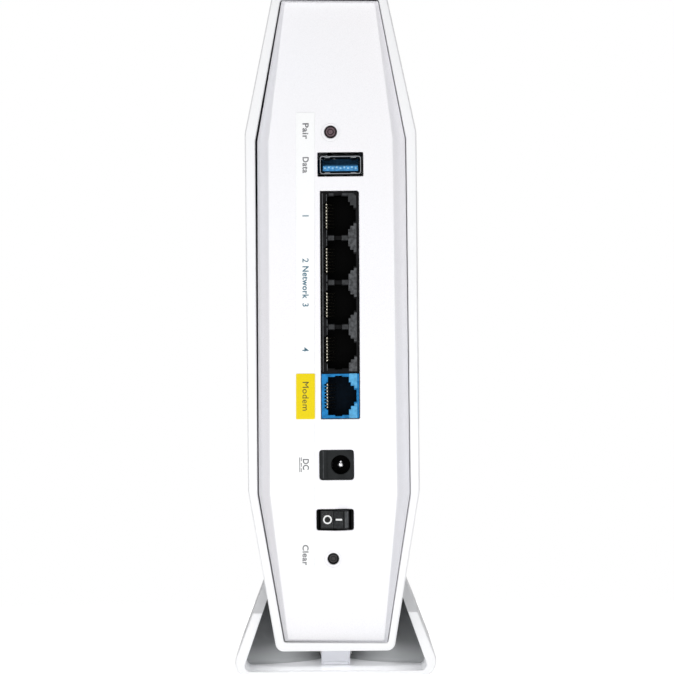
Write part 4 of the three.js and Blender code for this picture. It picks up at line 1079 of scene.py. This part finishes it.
# ---- push buttons
def push_button(name, material):
    """A domed cap with a fine ring in it, a collar behind the panel and a stem."""
    span = Span(f"{name}_button")
    radius = BUTTONS[name][0]
    dome = [
        (0.0, 0.12), (0.22, 0.1), (0.32, 0.02), (radius * 0.4, 0.02), (radius * 0.46, 0.3),
        (radius * 0.56, 0.3), (radius * 0.6, 0.02), (radius * 0.8, 0.03), (radius * 0.85, 0.25),
        (radius * 0.97, 0.3), (radius, 0.4),
    ]
    collar = [(radius, 0), (2.75, 0), (2.9, 0.15), (2.9, 0.65), (2.75, 0.8), (1.3, 0.8)]
    profile = [(r, span.rear + y) for r, y in dome] + [(r, PANEL_BACK + 0.4 + y) for r, y in collar]
    body = turned(profile + [(1.3, span.front), (0.0, span.front)], "y", (span.x, span.z))
    piece(f"{name}_cap", body, material, "button_brown", [f"{name}_button"], f"{name}_button")


# ---- legends
STICKER_TILT = 0.0096  # the sticker and its legends lean this far to the right for each millimetre up
STICKER_MIDDLE = 110.1


def leaning(x, z):
    return x + (z - STICKER_MIDDLE) * STICKER_TILT


def stickers():
    """The white strip beside the ports, and the yellow patch on it."""
    for name, node, x0, x1, material, slot_name in (
        ("legend_strip", "port_label", -11.43, -5.63, LABEL_WHITE, "label_white"),
        ("line_patch", "wan_label", -11.44, -5.5, LABEL_YELLOW, "label_yellow"),
    ):
        span = Span(node)
        corners = [(leaning(x, z), z) for x, z in rectangle(x0, x1, span.low, span.high)]
        film = block(corners, 0.3, "y", span.rear, span.front, 0.04, 0, 4)
        piece(name, film, material, slot_name, [node])


LEGEND_X = -8.46
LEGEND_HEIGHT = 1.95
ON_STRIP, ON_PATCH = 0.185, 0.355  # how far before the panel's face the two films lie
GREY_INK = (INK_GREY, "tray_grey")
BLUE_INK = (INK_BLUE, "tongue_blue")


def legend(name, text, z, length, ink, x=LEGEND_X, layer=ON_STRIP, bold=0.022):
    """Lettering that reads downwards, its capitals' tops to the right, about a place on the panel."""
    curve = bpy.data.curves.new(name, "FONT")
    curve.body = text
    curve.extrude = 0.012
    curve.offset = bold
    curve.resolution_u = 4
    curve.space_character = 1.08
    source = placed(name, curve)
    bm = taken_up(evaluated(source))
    bpy.data.objects.remove(source)
    bpy.data.curves.remove(curve)
    xs = [v.co.x for v in bm.verts]
    ys = [v.co.y for v in bm.verts]
    stretch_y = LEGEND_HEIGHT / (max(ys) - min(ys))
    stretch_x = length / (max(xs) - min(xs)) if length else stretch_y
    middle = Vector(((max(xs) + min(xs)) / 2, (max(ys) + min(ys)) / 2, 0))
    for vertex in bm.verts:
        p = vertex.co - middle
        down = z - p.x * stretch_x
        vertex.co = (leaning(x, down) + p.y * stretch_y, PANEL_FACE - layer - p.z, down)
    piece(name, bm, *ink)


def legends():
    legend("legend_pair", "Pair", 174.8, 5.0, GREY_INK)
    legend("legend_data", "Data", 164.15, 5.0, GREY_INK)
    for number, z in enumerate(LAN_Z, 1):
        legend(f"legend_{number}", str(number), z, 0, BLUE_INK, bold=0.012)
    legend("legend_network", "Network", 127.3, 10.2, BLUE_INK)
    legend("legend_modem", "Modem", WAN_Z, 9.0, (INK_DARK, "lead_black"), layer=ON_PATCH, bold=0.0)
    legend("legend_power", "DC", DC.z + 0.2, 3.4, GREY_INK, x=-8.35)
    legend("legend_clear", "Clear", 41.75, 6.4, GREY_INK)


def direct_current_symbol():
    """An unbroken line beside a broken one."""
    left, low = leaning(-10.4, DC.z), DC.z - 2.2
    lines = [(left, low, 4.6)] + [(left + 0.5, low + 1.7 * i, 1.2) for i in range(3)]
    face = PANEL_FACE - ON_STRIP
    marks = [slab(x, x + 0.24, z, z + length, 0.05, face - 0.012, face + 0.012) for x, z, length in lines]
    piece("legend_power_symbol", together(*marks), *GREY_INK)


# ---- stand
WING_TOP = 32.2
WING_BEND = 21.9
WING_MIDDLE = 13.2
STAND_FLOOR = 3.4
STAND_END = STAND.front
FOOT_PLACES = [(x, y) for x in (-24, 24) for y in (-54, 54)]


def wing_outside(z):
    return 29.9 - 0.385 * (z - WING_MIDDLE)


def wing_inside(z):
    return 26.35 - 0.352 * (z - WING_MIDDLE)


OUTSIDE_CORNERS = mirrored([(wing_outside(z), z) for z in (STAND.low, WING_TOP)])
TROUGH_CORNERS = mirrored([(wing_inside(z), z) for z in (STAND_FLOOR, WING_TOP + 2)])
TROUGH_RADII = [1.8, 0.5, 0.5, 1.8]


def trough():
    """The folded floor and wings, with the trough between them."""
    whole = block(OUTSIDE_CORNERS, [5.5, 0.6, 0.6, 5.5], "y", -STAND_END, STAND_END, 0.5, 0.5, 10)
    flare = [(-inset, depth) for inset, depth in edge_round(0.4, 4)]
    stations = [(-0.4, -STAND_END - 1)] + [(inset, depth - STAND_END) for inset, depth in flare]
    stations += [(inset, STAND_END - depth) for inset, depth in reversed(flare)] + [(-0.4, STAND_END + 1)]
    return cut(whole, swept(outline_of(TROUGH_CORNERS, TROUGH_RADII, 8), "y", stations))


def saddle(side):
    """A waisted wall that closes the trough half way along, spreading into the floor at its foot."""
    curve = [bezier((28, -30), (9.5, -22), (5.2, 0), i / 12) for i in range(12)]
    curve += [bezier((5.2, 0), (9.5, 22), (28, 30), i / 12) for i in range(13)]
    rings = []
    for spread, z in (
        (0, WING_TOP + 1), (0, STAND_FLOOR + 1.6), (0.25, STAND_FLOOR + 0.8),
        (0.8, STAND_FLOOR + 0.25), (1.8, STAND_FLOOR - 0.02), (1.8, STAND_FLOOR - 1),
    ):
        ring = [(side * max(x - spread, 4.6), y * (1 + spread / 30), z) for x, y in curve]
        ring += [(side * 33, 30 + spread, z), (side * 33, -30 - spread, z)]
        rings.append(ring)
    room = block(moved_in(TROUGH_CORNERS, -0.05), TROUGH_RADII, "y", -STAND_END, STAND_END, steps=8)
    return common(loft(rings), room)


def wing_slope(side):
    """A cutter that slopes the wings' tops down towards an end of the stand."""
    outline = [
        (side * (STAND_END + 1), WING_BEND - 0.5), (side * (STAND_END + 1), WING_TOP + 3),
        (side * (STAND_END - 24), WING_TOP + 3),
    ]
    return loft([[(x, y, z) for y, z in outline] for x in (-40, 40)])


def stand_body():
    space = swept(sleeve, "y", [(-0.3, -STAND_END - 1), (-0.3, STAND_END + 1)])
    under = STAND.low
    pocket = [(0, under - 1), (4.8, under - 1), (4.8, under + 0.5), (0, under + 0.5)]
    hole = [(0, -1), (3.0, -1), (3.0, 2.7), (1.55, 2.7), (1.55, 6), (0, 6)]
    sockets = [turned(pocket, "z", at) for at in FOOT_PLACES]
    sockets += [turned(hole, "z", (0, y), 32) for y in SCREW_Y]
    body = cut(trough(), space.copy(), wing_slope(-1), wing_slope(1), together(*sockets))
    piece("stand_body", body, STAND_WHITE, "stand_white", ["stand"])
    # the saddle walls take painted shade: grey, and darker towards the top
    walls = cut(together(saddle(-1), saddle(1)), space)
    piece("stand_saddle", walls, SADDLE_SHADE_GREY, "stand_white", ["stand"])


def bezier(a, b, c, share):
    a, b, c = Vector(a), Vector(b), Vector(c)
    return a.lerp(b, share).lerp(b.lerp(c, share), share)


def posts():
    for name, y in zip(("rear_post", "front_post"), SCREW_Y):
        span = Span(name)
        outline = rectangle(span.left, span.right, y - 2.8, y + 2.8)
        column = block(outline, 0.7, "z", span.low, span.high)
        foot = rectangle(span.left + 0.5, span.right - 0.5, y - 3.6, y + 3.6)
        lip = block(foot, 0.6, "z", span.low, span.low + 0.9, 0, 0.4)
        bore = block(circle(0, y, 1.55, 24), 0.02, "z", span.low - 1, span.high + 1, steps=1)
        piece(f"{name}_body", cut(join(column, lip), bore), POST_SHADED_WHITE, "stand_white", [name])


# ---- carried-over CAD nodes
ANTENNA_PLACES = ("front_low", "front_high", "left_low", "left_high")
CARRIED = [
    (["chassis_tray"], TRAY_GREY, 0.3),
    (["light_pipe", "status_led"], CLEAR, 0.1),
    (["main_board"], BOARD_GREEN, 0.1),
    (["processor_shield", "radio_shield_low", "radio_shield_high"], STEEL, 0.35),
    (["heat_sink", "back_heat_sink"], ALUMINIUM, 0.2),
    (["thermal_pad", "back_thermal_pad"], PAD_GREY, 0.15),
    (["network_transformer_1", "network_transformer_2", "power_inductor"], CHIP_BLACK, 0.3),
    (["pair_plunger", "reset_plunger", "pair_tact_switch", "reset_tact_switch"], CHIP_BLACK, 0.15),
    (["power_capacitor"], ALUMINIUM, 0.2),
    ([f"board_screw_{i}" for i in (1, 2, 3, 4)] + ["stand_screw_rear", "stand_screw_front"], STEEL, 0.12),
    ([f"foot_{i}" for i in (1, 2, 3, 4)], RUBBER, 0.2),
    ([f"antenna_{place}" for place in ANTENNA_PLACES], GOLD, 0.05),
    ([f"antenna_lead_{place}" for place in ANTENNA_PLACES], LEAD_BLACK, 0.0),
]


def carried_over():
    """Gives the CAD nodes that stay their materials, merged flat faces, soft edges and smooth shading."""
    for nodes, material, width in CARRIED:
        for name in nodes:
            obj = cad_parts[name]
            obj.data.materials.clear()
            obj.data.materials.append(material)
            merge = obj.modifiers.new("merge", "DECIMATE")
            merge.decimate_type = "DISSOLVE"
            merge.angle_limit = math.radians(1)
            if width:
                edges = obj.modifiers.new("edges", "BEVEL")
                edges.width = width * MM
                edges.segments = 3
                edges.limit_method = "ANGLE"
                edges.angle_limit = math.radians(35)
            obj.data.shade_smooth()
            normals = obj.modifiers.new("flat_faces", "WEIGHTED_NORMAL")
            normals.weight = 80


# ---- stage
def floor_material():
    """Pale floor paint that turns into plain white light away from the router, to meet the backdrop."""
    finish = Finish("floor_paint", 0.8)
    finish.colour(finish.ramp(finish.noise(30, 3), 0.3, 0.7, (0.88, 0.88, 0.885), (0.9, 0.9, 0.9)))
    finish.vary_roughness(finish.noise(4, 2), 0.05)
    distance = finish.add("ShaderNodeVectorMath")
    distance.operation = "LENGTH"
    finish.link(finish.place, distance.inputs[0])
    fade = finish.add("ShaderNodeMapRange", From_Min=0.04, From_Max=0.3, To_Min=0.72)
    fade.interpolation_type = "SMOOTHSTEP"
    finish.link(distance.outputs["Value"], fade.inputs["Value"])
    glow = finish.add("ShaderNodeEmission", Strength=1.25)
    mix = finish.add("ShaderNodeMixShader")
    finish.link(fade.outputs["Result"], mix.inputs[0])
    finish.link(finish.shader.outputs[0], mix.inputs[1])
    finish.link(glow.outputs[0], mix.inputs[2])
    finish.link(mix.outputs[0], finish.tree.nodes["Material Output"].inputs["Surface"])
    return finish.material


def add_floor():
    bm = bmesh.new()
    bm.faces.new([bm.verts.new((p.x, p.y, -0.05)) for p in circle(0, 0, FLOOR_RADIUS, 96)])
    bmesh.ops.scale(bm, vec=Vector((MM, MM, MM)), verts=bm.verts)
    floor = placed("floor", as_mesh(bm, "floor"))
    floor.data.materials.append(floor_material())


def add_world(ahead, beside):
    """A white backdrop that lights the router less strongly than it shows, and least from its two sides."""
    world = bpy.data.worlds.new("backdrop")
    world.use_nodes = True
    tree = world.node_tree
    tree.nodes.clear()
    path = add_node(tree, "ShaderNodeLightPath")
    place = add_node(tree, "ShaderNodeTexCoord")
    split = add_node(tree, "ShaderNodeSeparateXYZ")
    square = add_node(tree, "ShaderNodeMath")
    square.operation = "POWER"
    square.inputs[1].default_value = 2
    level = add_node(tree, "ShaderNodeMapRange", To_Min=ahead, To_Max=beside)
    seen = add_node(tree, "ShaderNodeBackground", Color=(1, 1, 1, 1))
    light = add_node(tree, "ShaderNodeBackground", Color=(1, 1, 1, 1))
    mix = add_node(tree, "ShaderNodeMixShader")
    output = add_node(tree, "ShaderNodeOutputWorld")
    for source, target in (
        (place.outputs["Generated"], split.inputs[0]),
        (split.outputs["X"], square.inputs[0]),
        (square.outputs[0], level.inputs["Value"]),
        (level.outputs["Result"], light.inputs["Strength"]),
        (path.outputs["Is Camera Ray"], mix.inputs[0]),
        (light.outputs[0], mix.inputs[1]),
        (seen.outputs[0], mix.inputs[2]),
        (mix.outputs[0], output.inputs["Surface"]),
    ):
        tree.links.new(source, target)
    bpy.context.scene.world = world


def softbox(name, location, target, size, power):
    data = bpy.data.lights.new(name, "AREA")
    data.shape = "RECTANGLE"
    data.size, data.size_y = size
    data.energy = power
    lamp = placed(name, data)
    lamp.location = location
    lamp.rotation_euler = (Vector(target) - Vector(location)).to_track_quat("-Z", "Y").to_euler()
    lamp.visible_camera = False


def add_lights():
    middle = (0, 0, 0.11)
    softbox("front_light", (-0.18, -1.5, 0.08), middle, (1.0, 1.2), 8.6)
    softbox("low_light", (0, -0.62, 0.02), (0, 0, 0.03), (0.4, 0.024), 0.26)
    softbox("top_light", (0, 0.1, 1.5), middle, (1.4, 1.4), 2.5)
    softbox("back_light", (0.3, 1.9, 0.6), middle, (0.9, 0.9), 4)
    softbox("under_light", (0, -0.05, 0.0112), (0, -0.049, 0), (0.05, 0.026), 0.0044)
    for side, x in (("left", -0.0125), ("right", 0.0125)):
        softbox(f"post_light_{side}", (x, -0.019, 0.0108), (x, -0.018, 0), (0.014, 0.03), 0.001)
    add_world(0.37, 0.22)


# ---- the router
shell()
port_panel()
network_ports()
usb_sleeve()
usb_springs()
usb_tongue()
inlet_body()
inlet_contacts()
switch_frame()
rocker()
rocker_marks()
rocker_ribs()
push_button("pair", BUTTON_BROWN)
push_button("reset", BUTTON_DARK)
stickers()
legends()
direct_current_symbol()
stand_body()
posts()
carried_over()
add_floor()
add_lights()
bpy.context.scene.view_settings.view_transform = "Standard"
